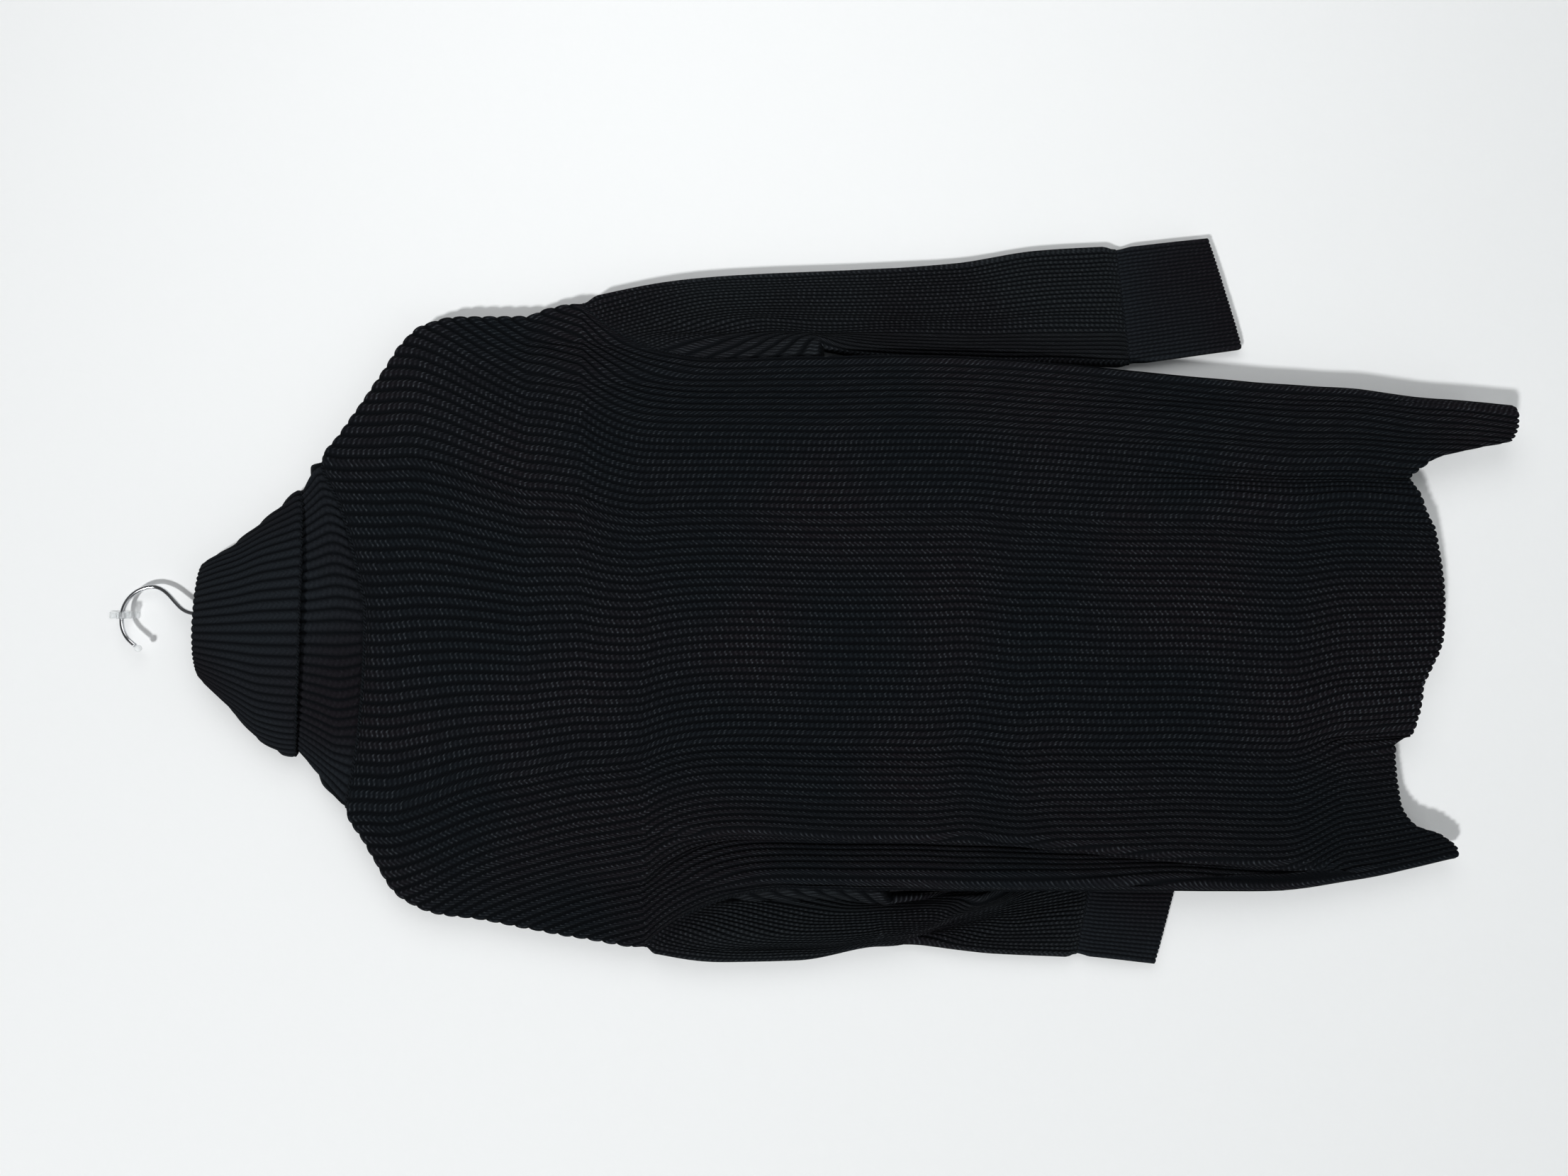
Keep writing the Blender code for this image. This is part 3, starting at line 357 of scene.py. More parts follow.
def smooth(at: Array, knots: Array, values: Array) -> Array:
    """Cubic interpolation that passes through the values and never overshoots them.

    Args:
        at: The places to read, in one row.
        knots: The places of the values, rising.
        values: One value, or one array of values, for each knot.

    Returns:
        The values at those places.
    """
    knots = np.asarray(knots, float)
    values = np.asarray(values, float)
    column = (-1,) + (1,) * (values.ndim - 1)
    steps = np.diff(knots)
    slopes = np.diff(values, axis=0) / steps.reshape(column)
    tangents = np.empty_like(values)
    tangents[0], tangents[-1] = slopes[0], slopes[-1]
    before, after = slopes[:-1], slopes[1:]
    same_way = before * after > 0
    total = np.where(same_way, before + after, 1.0)
    tangents[1:-1] = np.where(same_way, 2 * before * after / total, 0.0)
    at = np.clip(np.atleast_1d(at), knots[0], knots[-1])
    piece = np.clip(np.searchsorted(knots, at, side="right") - 1, 0, len(steps) - 1)
    width = steps[piece].reshape(column)
    t = ((at - knots[piece]) / steps[piece]).reshape(column)
    ends = (values[piece], values[piece + 1])
    return hermite(t, ends, (width * tangents[piece], width * tangents[piece + 1]))


def ease(t: Array) -> Array:
    """0 to 1 with flat ends."""
    t = np.clip(t, 0.0, 1.0)
    return t * t * (3 - 2 * t)


def unit(vectors: Array) -> Array:
    """The same vectors at length one."""
    return vectors / np.maximum(np.linalg.norm(vectors, axis=-1, keepdims=True), 1e-9)


def running(points: Array) -> Array:
    """The length of a line of points up to each of its points."""
    return np.concatenate([[0.0], np.cumsum(np.linalg.norm(np.diff(points, axis=0), axis=1))])


def read_line(at: Array, knots: Array, line: Array) -> Array:
    """The places of a line of points at these knots, straight from point to point."""
    return np.stack([np.interp(at, knots, line[:, k]) for k in range(line.shape[1])], axis=1)


def spaced(points: Array, count: int) -> Array:
    """count + 1 places at even lengths along a line of points."""
    lengths = running(points)
    return read_line(np.linspace(0.0, lengths[-1], count + 1), lengths, points)


def crowded(share: Array, more: float | Array) -> Array:
    """Even shares moved so that they lie further apart, by that share, in the middle."""
    return share - more * np.sin(2 * math.pi * share) / (2 * math.pi)


def spread(line: Array, count: int, more: float) -> Array:
    """count + 1 places along a line of points, further apart by that share in its middle."""
    at = crowded(np.linspace(0.0, 1.0, count + 1), more) * count
    return read_line(at, np.arange(count + 1), spaced(line, count))


def curve_through(points: tuple[EdgePoint, ...], steps: int = 24) -> Array:
    """A dense smooth line through a table's points.

    Args:
        points: The table.
        steps: The number of places for each of its points.

    Returns:
        Rows of (x, z).
    """
    corners = np.array([(point.x, point.z) for point in points])
    chord = np.linalg.norm(np.diff(corners, axis=0), axis=1)
    knots = np.concatenate([[0.0], np.cumsum(np.sqrt(chord))])
    return smooth(np.linspace(0.0, knots[-1], steps * len(corners)), knots, corners)


def rows_through(values: Array, at: Array | int) -> Array:
    """Smooth rows through key rows, which lie at their mean distances from each other.

    Args:
        values: The key rows.
        at: The numbers of the wanted rows among the key rows, or how many even steps to take.

    Returns:
        The rows.
    """
    chords = np.linalg.norm(np.diff(values, axis=0), axis=2).mean(axis=1)
    knots = np.concatenate([[0.0], np.cumsum(chords)])
    if isinstance(at, int):
        return smooth(np.linspace(0.0, knots[-1], at + 1), knots, values)
    return smooth(np.interp(at, np.arange(len(knots)), knots), knots, values)


def fold_depth(x: Array, z: Array, folds: tuple[Fold, ...]) -> Array:
    """The depth that folds add to a cloth.

    Args:
        x: Where the cloth is, across.
        z: Where it is in height.
        folds: Its folds.

    Returns:
        The depth added at each place.
    """
    added = np.zeros_like(x)
    for fold in folds:
        along = (fold.top_z - z) / (fold.top_z - fold.foot_z)
        centre = fold.top_x + (fold.foot_x - fold.top_x) * np.clip(along, 0.0, 1.0)
        reach = fold.half_width * np.where(x > centre, fold.skew, 1.0)
        across = np.clip(np.abs(x - centre) / reach, 0.0, 1.0)
        start = ease((fold.top_z - z) / fold.fade + 0.5)
        end = ease((z - fold.foot_z) / fold.fade + 0.5)
        added += fold.rise * (1 - ease(across)) * start * end
    return added


def waver(x: Array, z: Array, length: float, seed: int, waves: int = 7) -> Array:
    """Slow uneven waves, the same on every run.

    Args:
        x: The places across.
        z: The places in height.
        length: About how long a wave is.
        seed: Which waves.
        waves: How many lie over each other.

    Returns:
        Values between about -1 and 1.
    """
    dice = np.random.default_rng(seed)
    total = np.zeros_like(x)
    for _ in range(waves):
        heading = dice.uniform(0, math.pi)
        pitch = length * dice.uniform(0.6, 1.7)
        along = (x * math.cos(heading) + z * math.sin(heading)) * 2 * math.pi / pitch
        total += np.sin(along + dice.uniform(0, 2 * math.pi))
    return total / waves * 1.6


def normals_of(grid: Array, outward: int, ring: bool, loop: bool = False) -> Array:
    """Unit normals of a grid of (x, depth, z).

    Args:
        grid: Rows of places.
        outward: 1 or -1, which turns the normals to the outside of the cloth.
        ring: Whether each row closes on itself.
        loop: Whether the last row comes back to the first.

    Returns:
        One normal for each place.
    """

    def steps(axis: int, closed: bool) -> Array:
        """The step from each place's neighbour before it to the one after it."""
        if closed:
            return np.roll(grid, -1, axis=axis) - np.roll(grid, 1, axis=axis)
        return np.gradient(grid, axis=axis)

    return unit(np.cross(steps(1, ring), steps(0, loop))) * outward


def close_ring(grid: Array) -> Array:
    """The same rows, each with its first place again at its end."""
    return np.concatenate([grid, grid[:, :1]], axis=1)


def log_cut(name: str, grid: Array) -> None:
    """Reports the flat size of a cloth: its widest row, its longest column and its area, in metres.

    Args:
        name: The piece's name.
        grid: Its plain inside.
    """
    across = np.linalg.norm(np.diff(grid, axis=1), axis=2).sum(axis=1).max()
    down = np.linalg.norm(np.diff(grid, axis=0), axis=2).sum(axis=0).max()
    faces = np.cross(grid[1:, 1:] - grid[:-1, :-1], grid[1:, :-1] - grid[:-1, 1:])
    area = np.linalg.norm(faces, axis=2).sum() / 2
    log.info("%s cut %.4f x %.4f, %.4f", name, across * MM, down * MM, area * MM * MM)


def linked(name: str, mesh: bpy.types.Mesh, finish: bpy.types.Material) -> bpy.types.Object:
    """A mesh as an object of the scene, in its finish."""
    mesh.materials.append(finish)
    made = bpy.data.objects.new(name, mesh)
    bpy.context.scene.collection.objects.link(made)
    return made


def finished(name: str, bm: bmesh.types.BMesh, mesh: bpy.types.Mesh, dress: Dress) -> bpy.types.Object:
    """Puts a bmesh into its mesh, shades it smooth and makes it a piece of the sweater.

    Args:
        name: The piece's name.
        bm: The shape, which is freed.
        mesh: Where it goes.
        dress: Its finish, and what it stands for.

    Returns:
        The piece.
    """
    bm.to_mesh(mesh)
    bm.free()
    mesh.shade_smooth()
    made = linked(name, mesh, dress.finish)
    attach(made, "root")
    if dress.node:
        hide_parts(dress.node)
    return made


def surface(name: str, points: Array, uv: Array, outward: int, dress: Dress) -> bpy.types.Object:
    """A piece made from a grid laid on rows of places, its doubled edges merged.

    Args:
        name: The piece's name.
        points: Rows of (x, depth, z) in millimetres. A row that closes on itself ends where it starts.
        uv: The pattern's coordinates at each place: ribs across, stitches along.
        outward: 1, or -1 where the rows run the other way round.
        dress: Its finish, and what it stands for.

    Returns:
        The object, its place in its mesh.
    """
    rows, columns = points.shape[:2]
    bm = bmesh.new()
    bmesh.ops.create_grid(bm, x_segments=columns - 1, y_segments=rows - 1, size=1.0)
    mesh = bpy.data.meshes.new(name)
    bm.to_mesh(mesh)
    bm.free()
    flat = np.empty(len(mesh.vertices) * 3, np.float32)
    mesh.vertices.foreach_get("co", flat)
    flat = flat.reshape(-1, 3)
    column = np.rint((flat[:, 0] + 1) / 2 * (columns - 1)).astype(int)
    row = np.rint((1 - flat[:, 1]) / 2 * (rows - 1)).astype(int)
    corner = np.empty(len(mesh.loops), np.int32)
    mesh.loops.foreach_get("vertex_index", corner)
    knit = mesh.uv_layers.new(name=KNIT_MAP)
    knit.data.foreach_set("uv", uv[row, column][corner].astype(np.float32).ravel())
    placed = points[row, column] * MM * np.array([1.0, -1.0, 1.0])
    mesh.vertices.foreach_set("co", placed.astype(np.float32).ravel())
    bm = bmesh.new()
    bm.from_mesh(mesh)
    rim = [vert for vert in bm.verts if vert.is_boundary]
    bmesh.ops.remove_doubles(bm, verts=rim, dist=1e-6)
    if outward < 0:
        bmesh.ops.reverse_faces(bm, faces=bm.faces)
    return finished(name, bm, mesh, dress)


def rib_uv(points: Array, ribs: int) -> Array:
    """Pattern coordinates of a grid.

    Args:
        points: The rows of the cloth.
        ribs: The number of ribs across.

    Returns:
        At each place, the ribs counted across and the stitches counted down its column.
    """
    down = np.linalg.norm(np.diff(points, axis=0), axis=2)
    along = np.concatenate([np.zeros((1, points.shape[1])), np.cumsum(down, axis=0)]) / COURSE
    across = np.tile(np.linspace(0.0, ribs, points.shape[1]), (len(points), 1))
    return np.stack([across, along], axis=2)


def rib_profile(columns: int, per_rib: int, power: float, seed: int) -> Array:
    """The height of every column of a ribbed cloth.

    Args:
        columns: How many there are.
        per_rib: How many make a rib.
        power: How round a rib is: under 1 it is fuller than a half circle.
        seed: Which ribs are a little higher than others.

    Returns:
        0 in the grooves and about 1 on the crests.
    """
    phase = np.arange(columns) / per_rib
    dice = np.random.default_rng(seed)
    crest = 1 + dice.uniform(-RIB_UNEVEN, RIB_UNEVEN, int(phase[-1]) + 2)
    return np.abs(np.sin(math.pi * phase)) ** power * crest[phase.astype(int)]


def turned_edge(outer: Array, normal: Array, inside: Array, rows: int, steps: int = 5) -> Array:
    """The outside of a cloth with its last row rolled round to the inside and a little way up it.

    Args:
        outer: The outside of the cloth, whose last row is its edge.
        normal: Unit normals of the inside.
        inside: The plain inside of the cloth.
        rows: The number of rows that run up the inside.
        steps: The number of rows round the roll.

    Returns:
        All the rows.
    """
    inner = inside[-1 : -1 - rows : -1] + HEM_GAP * normal[-1 : -1 - rows : -1]
    down = unit(outer[-1] - outer[-3])
    reach = np.linalg.norm(outer[-1] - inner[0], axis=1, keepdims=True) / 2
    centre = outer[-1] - normal[-1] * reach
    roll = [
        centre + reach * (math.cos(angle) * normal[-1] + math.sin(angle) * down)
        for angle in np.linspace(0, math.pi, steps + 2)[1:]
    ]
    return np.concatenate([outer, np.stack(roll), inner[1:]])


@dataclass
class BodyPanel:
    """One body panel: its ribs run from the shoulder line to the hem."""

    name: str
    node: str
    slot: str
    side: Side
    neck: tuple[EdgePoint, ...]
    hem: tuple[EdgePoint, ...]
    folds: tuple[Fold, ...]
    cut: tuple[float, float, float]
    ribs: int = 78
    per_rib: int = 6
    turn_rows: int = 6
    yoke_rows: int = 68
    body_rows: int = 108
    hem_rows: int = 6
    neck_stand_off: float = 9.0  # how far the cloth stands off the hanger at the neck
    crowding: float = 0.12  # how much further apart the ribs run in the middle
    flank: float = 0.13  # the share of the width over which a flank keeps its own depth
    flank_run: float = 0.22  # and over which it goes over into the middle's
    drop_blend: float = 16.0
    settle: float = 0.35  # the share of the yoke below which columns turn to their underarm places
    hem_level: float = -955.0  # where the hem's table is read
    hem_lift: float = 1.6  # the roll's own height
    calm_sides: float = 14.0  # the cloth lies calm within one part in this of its width
    calm_rows: float = 26.0
    seam_ribs: float = 1.2  # the cloth thins over this many ribs beside a seam
    seam_rows: float = 5.0
    seed: int = 3
    grid: Array = field(init=False, repr=False)
    top: Array = field(init=False, repr=False)
    edges: list[Array] = field(init=False, repr=False)

    def __post_init__(self) -> None:
        """Works out the plain inside of the cloth."""
        self.columns = self.ribs * self.per_rib
        self.share = np.arange(self.columns + 1) / self.columns
        shoulders = curve_through(LEFT_SHOULDER + self.neck + RIGHT_SHOULDER)
        self.top = spread(shoulders, self.columns, -self.crowding)
        self.neck_left = LEFT_SHOULDER[-1].x
        self.neck_right = RIGHT_SHOULDER[0].x
        self.level_z = np.linspace(LEVELS[0].z, LEVELS[-1].z, 60)
        self.sections = np.stack([self.section(z) for z in self.level_z])
        self.grid = self.inside()

    def section(self, z: float) -> Array:
        """Even places along one level of the body, from side seam to side seam.

        Args:
            z: The height of the level.

        Returns:
            Rows of (x, depth).
        """
        heights = np.array([-level.z for level in LEVELS])
        table = np.array([astuple(level)[1:] for level in LEVELS])
        level = Level(z, *smooth(np.array([-z]), heights, table)[0])
        left, right = level.left + CLOTH, level.right - CLOTH
        if self.side is Side.ROOM:
            first, middle, last = level.room_left, level.room_mid, level.room_right
        else:
            first, middle, last = level.wall_left, level.wall_mid, level.wall_right
        seam_left = (level.room_left + level.wall_left) / 2
        seam_right = (level.room_right + level.wall_right) / 2
        radius_left, radius_right = abs(first - seam_left), abs(last - seam_right)
        turn = np.linspace(0.0, math.pi / 2, 16)
        side = self.side.value

        def turned(edge: float, inwards: int, seam: float, radius: float) -> Array:
            """The quarter turn beside one side seam, as (x, depth)."""
            across = edge + inwards * radius * (1 - np.cos(turn))
            return np.stack([across, seam + side * radius * np.sin(turn)], axis=1)

        run = np.linspace(left + radius_left, right - radius_right, 400)[1:-1]
        share = (run - left) / (right - left)
        depth = np.where(
            share < 0.5,
            first + (middle - first) * ease((share - self.flank) / self.flank_run),
            last + (middle - last) * ease((1 - self.flank - share) / self.flank_run),
        )
        depth = depth + side * fold_depth(run, np.full_like(run, z), self.folds)
        line = [
            turned(left, 1, seam_left, radius_left),
            np.stack([run, depth], axis=1),
            turned(right, -1, seam_right, radius_right)[::-1],
        ]
        return spread(np.concatenate(line), self.columns, self.crowding)

    def at_levels(self, z: Array) -> Array:
        """Where the columns are below the underarms, each at its own height.

        Args:
            z: The height of every column.

        Returns:
            Rows of (x, depth).
        """
        last = len(self.level_z) - 1
        row = np.clip((self.level_z[0] - z) / (self.level_z[0] - self.level_z[-1]), 0.0, 1.0) * last
        low = np.minimum(row.astype(int), last - 1)
        part = (row - low)[:, None]
        column = np.arange(len(z))
        return self.sections[low, column] * (1 - part) + self.sections[low + 1, column] * part

    def hem_heights(self) -> Array:
        """The height at which each column ends."""
        nominal = self.at_levels(np.full(self.columns + 1, self.hem_level))[:, 0]
        table = np.array([(point.x, point.z) for point in self.hem])
        return smooth(nominal, table[:, 0], table[:, 1]) + self.hem_lift

    def inside(self) -> Array:
        """The plain inside: over the hanger's arms, down the yoke, then down to the hem.

        Returns:
            Rows of (x, depth, z).
        """
        side = self.side.value
        arm_z = LEFT_UNDERARM_Z + (RIGHT_UNDERARM_Z - LEFT_UNDERARM_Z) * self.share
        arm = self.at_levels(arm_z)
        foot = np.stack([arm[:, 0], arm_z], axis=1)
        reach = np.linalg.norm(foot - self.top, axis=1)
        self.edges = [self.boundary(foot, 1), self.boundary(foot, -1)]
        top_x, top_z = self.top[:, 0], self.top[:, 1]
        beside_neck = np.maximum(self.neck_left - top_x, top_x - self.neck_right)
        turn_angle = math.pi / 2 * ease((beside_neck + NECK_TURN_START) / NECK_TURN_RUN)
        past_arm = np.maximum(DROP_LEFT - top_x, top_x - DROP_RIGHT)
        on_drop = ease((past_arm + self.drop_blend / 2) / self.drop_blend)
        on_drop = on_drop * ease((DROP_Z - top_z) / DROP_RUN)
        length = ARM_TURN + (DROP_TURN - ARM_TURN) * on_drop
        safe = np.maximum(turn_angle, 1e-4)
        front = HANGER_DEPTH + on_drop + side * length * (1 - np.cos(turn_angle)) / safe
        front = front + side * (1 - turn_angle / (math.pi / 2)) * self.neck_stand_off
        turned = turn_angle > 1e-3
        rows = []
        for part in np.linspace(0.0, 1.0, self.turn_rows):
            done = turn_angle * (1 - part)
            along = length * (np.sin(turn_angle) - np.sin(done)) / safe
            along = np.where(turned, along, length * part)
            depth = front - side * length * (1 - np.cos(done)) / safe
            rows.append(self.yoke_row(along / reach, foot, depth, arm[:, 1], 0.0))
        start = np.where(turned, length * np.sin(turn_angle) / safe, length) / reach
        for part in np.linspace(0.0, 1.0, self.yoke_rows + 1)[1:]:
            t = start + (1 - start) * part
            rows.append(self.yoke_row(t, foot, front, arm[:, 1], part))
        hem = self.hem_heights()
        for part in np.linspace(0.0, 1.0, self.body_rows + 1)[1:]:
            z = arm_z + (hem - arm_z) * part
            place = self.at_levels(z)
            rows.append(np.stack([place[:, 0], place[:, 1], z], axis=1))
        return self.unevenness(np.stack(rows))

    def boundary(self, foot: Array, order: int) -> Array:
        """One side of the yoke, upwards from its underarm.

        Args:
            foot: The places of the columns at the underarms, as (x, z).
            order: 1 for the left side and -1 for the right.

        Returns:
            Rows of (z, x, number of the column that starts there).
        """
        top, end = self.top[::order], foot[::order][0]
        reach = np.linalg.norm(end - top[0])
        lean = math.radians(ARMHOLE_LEAN)
        heading = ARMHOLE_PULL * reach * np.array([order * math.sin(lean), -math.cos(lean)])
        landing = np.array([0.0, -reach])
        arm = hermite(np.linspace(1.0, 0.0, 60)[:, None], (top[0], end), (heading, landing))
        peak = int(np.argmax(top[: len(top) * 9 // 20, 1]))
        line = np.concatenate([arm[:-1], top[: peak + 1]])
        number = np.concatenate([np.zeros(len(arm) - 1), np.arange(peak + 1)])
        number = number if order > 0 else self.columns - number
        return np.stack([line[:, 1], line[:, 0], number])

    def flow(self, z: Array) -> Array:
        """Where the columns lie across the yoke, the ribs about evenly apart at each height.

        Args:
            z: The height of every column.

        Returns:
            Its x.
        """
        left, right = ([np.interp(z, edge[0], row) for row in edge[1:]] for edge in self.edges)
        share = (np.arange(self.columns + 1) - left[1]) / (right[1] - left[1])
        more = 0.04 + self.crowding * ease((FLOW_TOP_Z - z) / FLOW_RUN)
        return left[0] + (right[0] - left[0]) * crowded(np.clip(share, 0.0, 1.0), more)

    def yoke_row(self, t: Array, foot: Array, depth: Array, arm_depth: Array, part: float) -> Array:
        """One row between the shoulder line and the underarms.

        Args:
            t: How far down each column is, 0 to 1.
            foot: The places of the columns at the underarms, as (x, z).
            depth: The depths at the shoulder line.
            arm_depth: The depths at the underarms.
            part: How far down the yoke the row is, 0 to 1.

        Returns:
            The row, as (x, depth, z).
        """
        top_x, top_z = self.top[:, 0], self.top[:, 1]
        z = top_z + (foot[:, 1] - top_z) * t
        x = self.flow(z) + (top_x - self.flow(top_z)) * (1 - ease((top_z - z) / SHOULDER_RUN))
        x = x + (foot[:, 0] - x) * ease((part - self.settle) / (1 - self.settle))
        depth = depth + (arm_depth - depth) * ease(part)
        added = fold_depth(x, z, self.folds) * (1 - ease(part))
        near_edge = np.minimum(self.share, 1 - self.share) * EDGE_FADE
        depth = depth + self.side.value * added * ease(near_edge) * ease(part / 0.2)
        return np.stack([x, depth, z], axis=1)

    def unevenness(self, grid: Array) -> Array:
        """Lets the ribs waver a little and the face rise and fall, less so by the seams.

        Args:
            grid: The plain inside, which is changed.

        Returns:
            The same grid.
        """
        share = np.linspace(0.0, 1.0, grid.shape[1])
        beside = ease(np.minimum(share, 1 - share) * self.calm_sides)
        free = beside * ease(np.arange(len(grid)) / self.calm_rows)[:, None]
        x, z = grid[..., 0].copy(), grid[..., 2].copy()
        grid[..., 0] += RIB_WAVER * waver(x, z * 0.6, RIB_WAVE, self.seed) * free
        grid[..., 1] += self.side.value * FACE_WAVER * waver(x, z * 0.6, FACE_WAVE, self.seed + 1) * free
        return grid

    def thickness(self) -> Array:
        """The cloth's thickness at each place: ribbed, and drawn down to its seams."""
        rows, columns = self.grid.shape[:2]
        ribs = WALL + RIB_RISE * rib_profile(columns, self.per_rib, RIB_POWER, self.seed)
        slow = waver(self.grid[..., 0], self.grid[..., 2], THICK_WAVE, self.seed + 2)
        thick = np.tile(ribs, (rows, 1)) * (1 + THICK_WAVER * slow)
        edge = np.minimum(np.arange(columns), np.arange(columns)[::-1])
        edge = edge / (self.seam_ribs * self.per_rib)
        down = np.arange(rows) / self.seam_rows
        return SEAM_WALL + (thick - SEAM_WALL) * ease(edge)[None, :] * ease(down)[:, None]

    def build(self, finish: bpy.types.Material) -> bpy.types.Object:
        """Makes the panel with its turned hem.

        Args:
            finish: The knitted yarn.

        Returns:
            The piece.
        """
        side = self.side.value
        normal = normals_of(self.grid, side, False)
        outer = self.grid + normal * self.thickness()[..., None]
        points = turned_edge(outer, normal, self.grid, self.hem_rows)
        log_cut(self.name, self.grid)
        dress = Dress(finish, self.node, self.slot)
        return surface(self.name, points, rib_uv(points, self.ribs), side, dress)

    def side_seam(self, last: bool) -> Array:
        """The line of one side seam, below the underarm."""
        return self.grid[self.turn_rows + self.yoke_rows - 1 :: 3, -1 if last else 0]

    def armhole(self, last: bool) -> Array:
        """The line of this panel's half of one armhole, from the shoulder to the underarm."""
        return self.grid[: self.turn_rows + self.yoke_rows, -1 if last else 0]

    def shoulder_seam(self, last: bool) -> Array:
        """The line of one shoulder seam, from the neck to the armhole."""
        row = self.grid[0]
        return row[row[:, 0] > self.neck_right][::3] if last else row[row[:, 0] < self.neck_left][::3]

    def neck_edge(self) -> Array:
        """The neck edge, from left to right."""
        row = self.grid[0]
        return row[(self.top[:, 0] >= self.neck_left) & (self.top[:, 0] <= self.neck_right)]


@dataclass
class Tube:
    """A sleeve or a cuff: a ribbed tube through its rings, linked to what is above it."""

    name: str
    node: str
    slot: str
    hand: Hand
    rings: tuple[Ring, ...]
    cut: tuple[float, float, float]
    ribs: int
    rows: int
    per_rib: int = 6
    rise: float = RIB_RISE
    cloth: float = CLOTH
    wall: float = WALL
    folds: tuple[Fold, ...] = ()
    turned: bool = False
    turned_rows: int = 4
    swell_power: float = 0.6  # under 1, a ring's faces are flatter than an ellipse's
    end_power: float = 0.9
    upper_ribs: float = 0.72  # this share of the ribs is picked up
    upper_share: float = 0.35  # on this share of the armhole
    face_waver: float = 0.7
    face_wave: float = 45.0
    seed: int = 11
    grid: Array = field(init=False, repr=False)

    def ring_points(self, ring: Ring) -> Array:
        """Places round a flattened ring, from its outer edge by way of the room side.

        Args:
            ring: The ring.

        Returns:
            Rows of (x, depth, z), one for each column.
        """
        count = self.ribs * self.per_rib
        turn = np.arange(4 * count) * 2 * math.pi / (4 * count)
        outer = np.array([ring.out_x, ring.out_depth, ring.out_z])
        inner = np.array([ring.in_x, ring.in_depth, ring.in_z])
        axis = unit(outer - inner)
        outer, inner = outer - axis * self.cloth, inner + axis * self.cloth
        centre, arm = (outer + inner) / 2, (outer - inner) / 2
        swell = np.where(np.sin(turn) > 0, ring.swell_room, ring.swell_wall)
        lift = np.sign(np.sin(turn)) * np.abs(np.sin(turn)) ** self.swell_power * swell
        across = np.sign(np.cos(turn)) * np.abs(np.cos(turn)) ** self.end_power
        line = centre + across[:, None] * arm + lift[:, None] * np.array([0.0, 1.0, 0.0])
        return spaced(np.concatenate([line, line[:1]]), count)[:-1]

    def picked_up(self, armhole: Array) -> Array:
        """The armhole's places, with most of the ribs on its slanting upper part.

        Args:
            armhole: The edge that both body panels leave for the sleeve.

        Returns:
            Rows of (x, depth, z), one for each column.
        """
        count = self.ribs * self.per_rib
        turn = np.arange(count) / count
        half = np.minimum(turn, 1 - turn) * 2
        reached = np.interp(half, (0.0, self.upper_ribs, 1.0), (0.0, self.upper_share, 1.0)) / 2
        at = np.where(turn <= 0.5, reached, 1 - reached) * ARMHOLE_STEPS
        return read_line(at, np.arange(ARMHOLE_STEPS + 1), spaced(armhole, ARMHOLE_STEPS))

    def lay(self, first: Array | None = None) -> None:
        """Works out the plain inside of the cloth.

        Args:
            first: The armhole, where the tube starts at one.
        """
        keys = [self.ring_points(ring) for ring in self.rings]
        if first is not None:
            keys.insert(0, self.picked_up(first))
        grid = rows_through(np.stack(keys), self.rows)
        turn = np.arange(grid.shape[1]) / grid.shape[1]
        near = ease(np.sin(2 * math.pi * turn) / 0.4 + 0.1)
        row = np.arange(self.rows + 1)
        free = ease(row / 10.0)[:, None] * ease(row[::-1] / 8.0)[:, None]
        grid[..., 1] += fold_depth(grid[..., 0], grid[..., 2], self.folds) * near
        waves = waver(grid[..., 0], grid[..., 2] * 0.7, self.face_wave, self.seed)
        grid[..., 1] += self.face_waver * waves * free * near
        self.grid = grid

    def build(self, finish: bpy.types.Material) -> bpy.types.Object:
        """Makes the tube, with a turned end where it has one.

        Args:
            finish: The knitted yarn.

        Returns:
            The piece.
        """
        outward = -self.hand.value
        normal = normals_of(self.grid, outward, True)
        columns = self.grid.shape[1]
        ribs = self.wall + self.rise * rib_profile(columns, self.per_rib, RIB_POWER, self.seed)
        rows = np.arange(self.rows + 1)
        seam = ease(rows / 4.0) * (1.0 if self.turned else ease(rows[::-1] / 3.0))
        thick = SEAM_WALL + (np.tile(ribs, (len(rows), 1)) - SEAM_WALL) * seam[:, None]
        points = self.grid + normal * thick[..., None]
        if self.turned:
            points = turned_edge(points, normal, self.grid, self.turned_rows)
        closed = close_ring(points)
        log_cut(self.name, close_ring(self.grid))
        dress = Dress(finish, self.node, self.slot)
        return surface(self.name, closed, rib_uv(closed, self.ribs), outward, dress)


class Key(IntEnum):
    """Where each part of the collar starts, among the key rows that its cloth passes through."""

    STAND = 0
    HIDDEN = 3
    EDGE = 10
    FLAP = 12
    CROWN = 16
    INSIDE = 18
    SEAM = 23
    END = 24


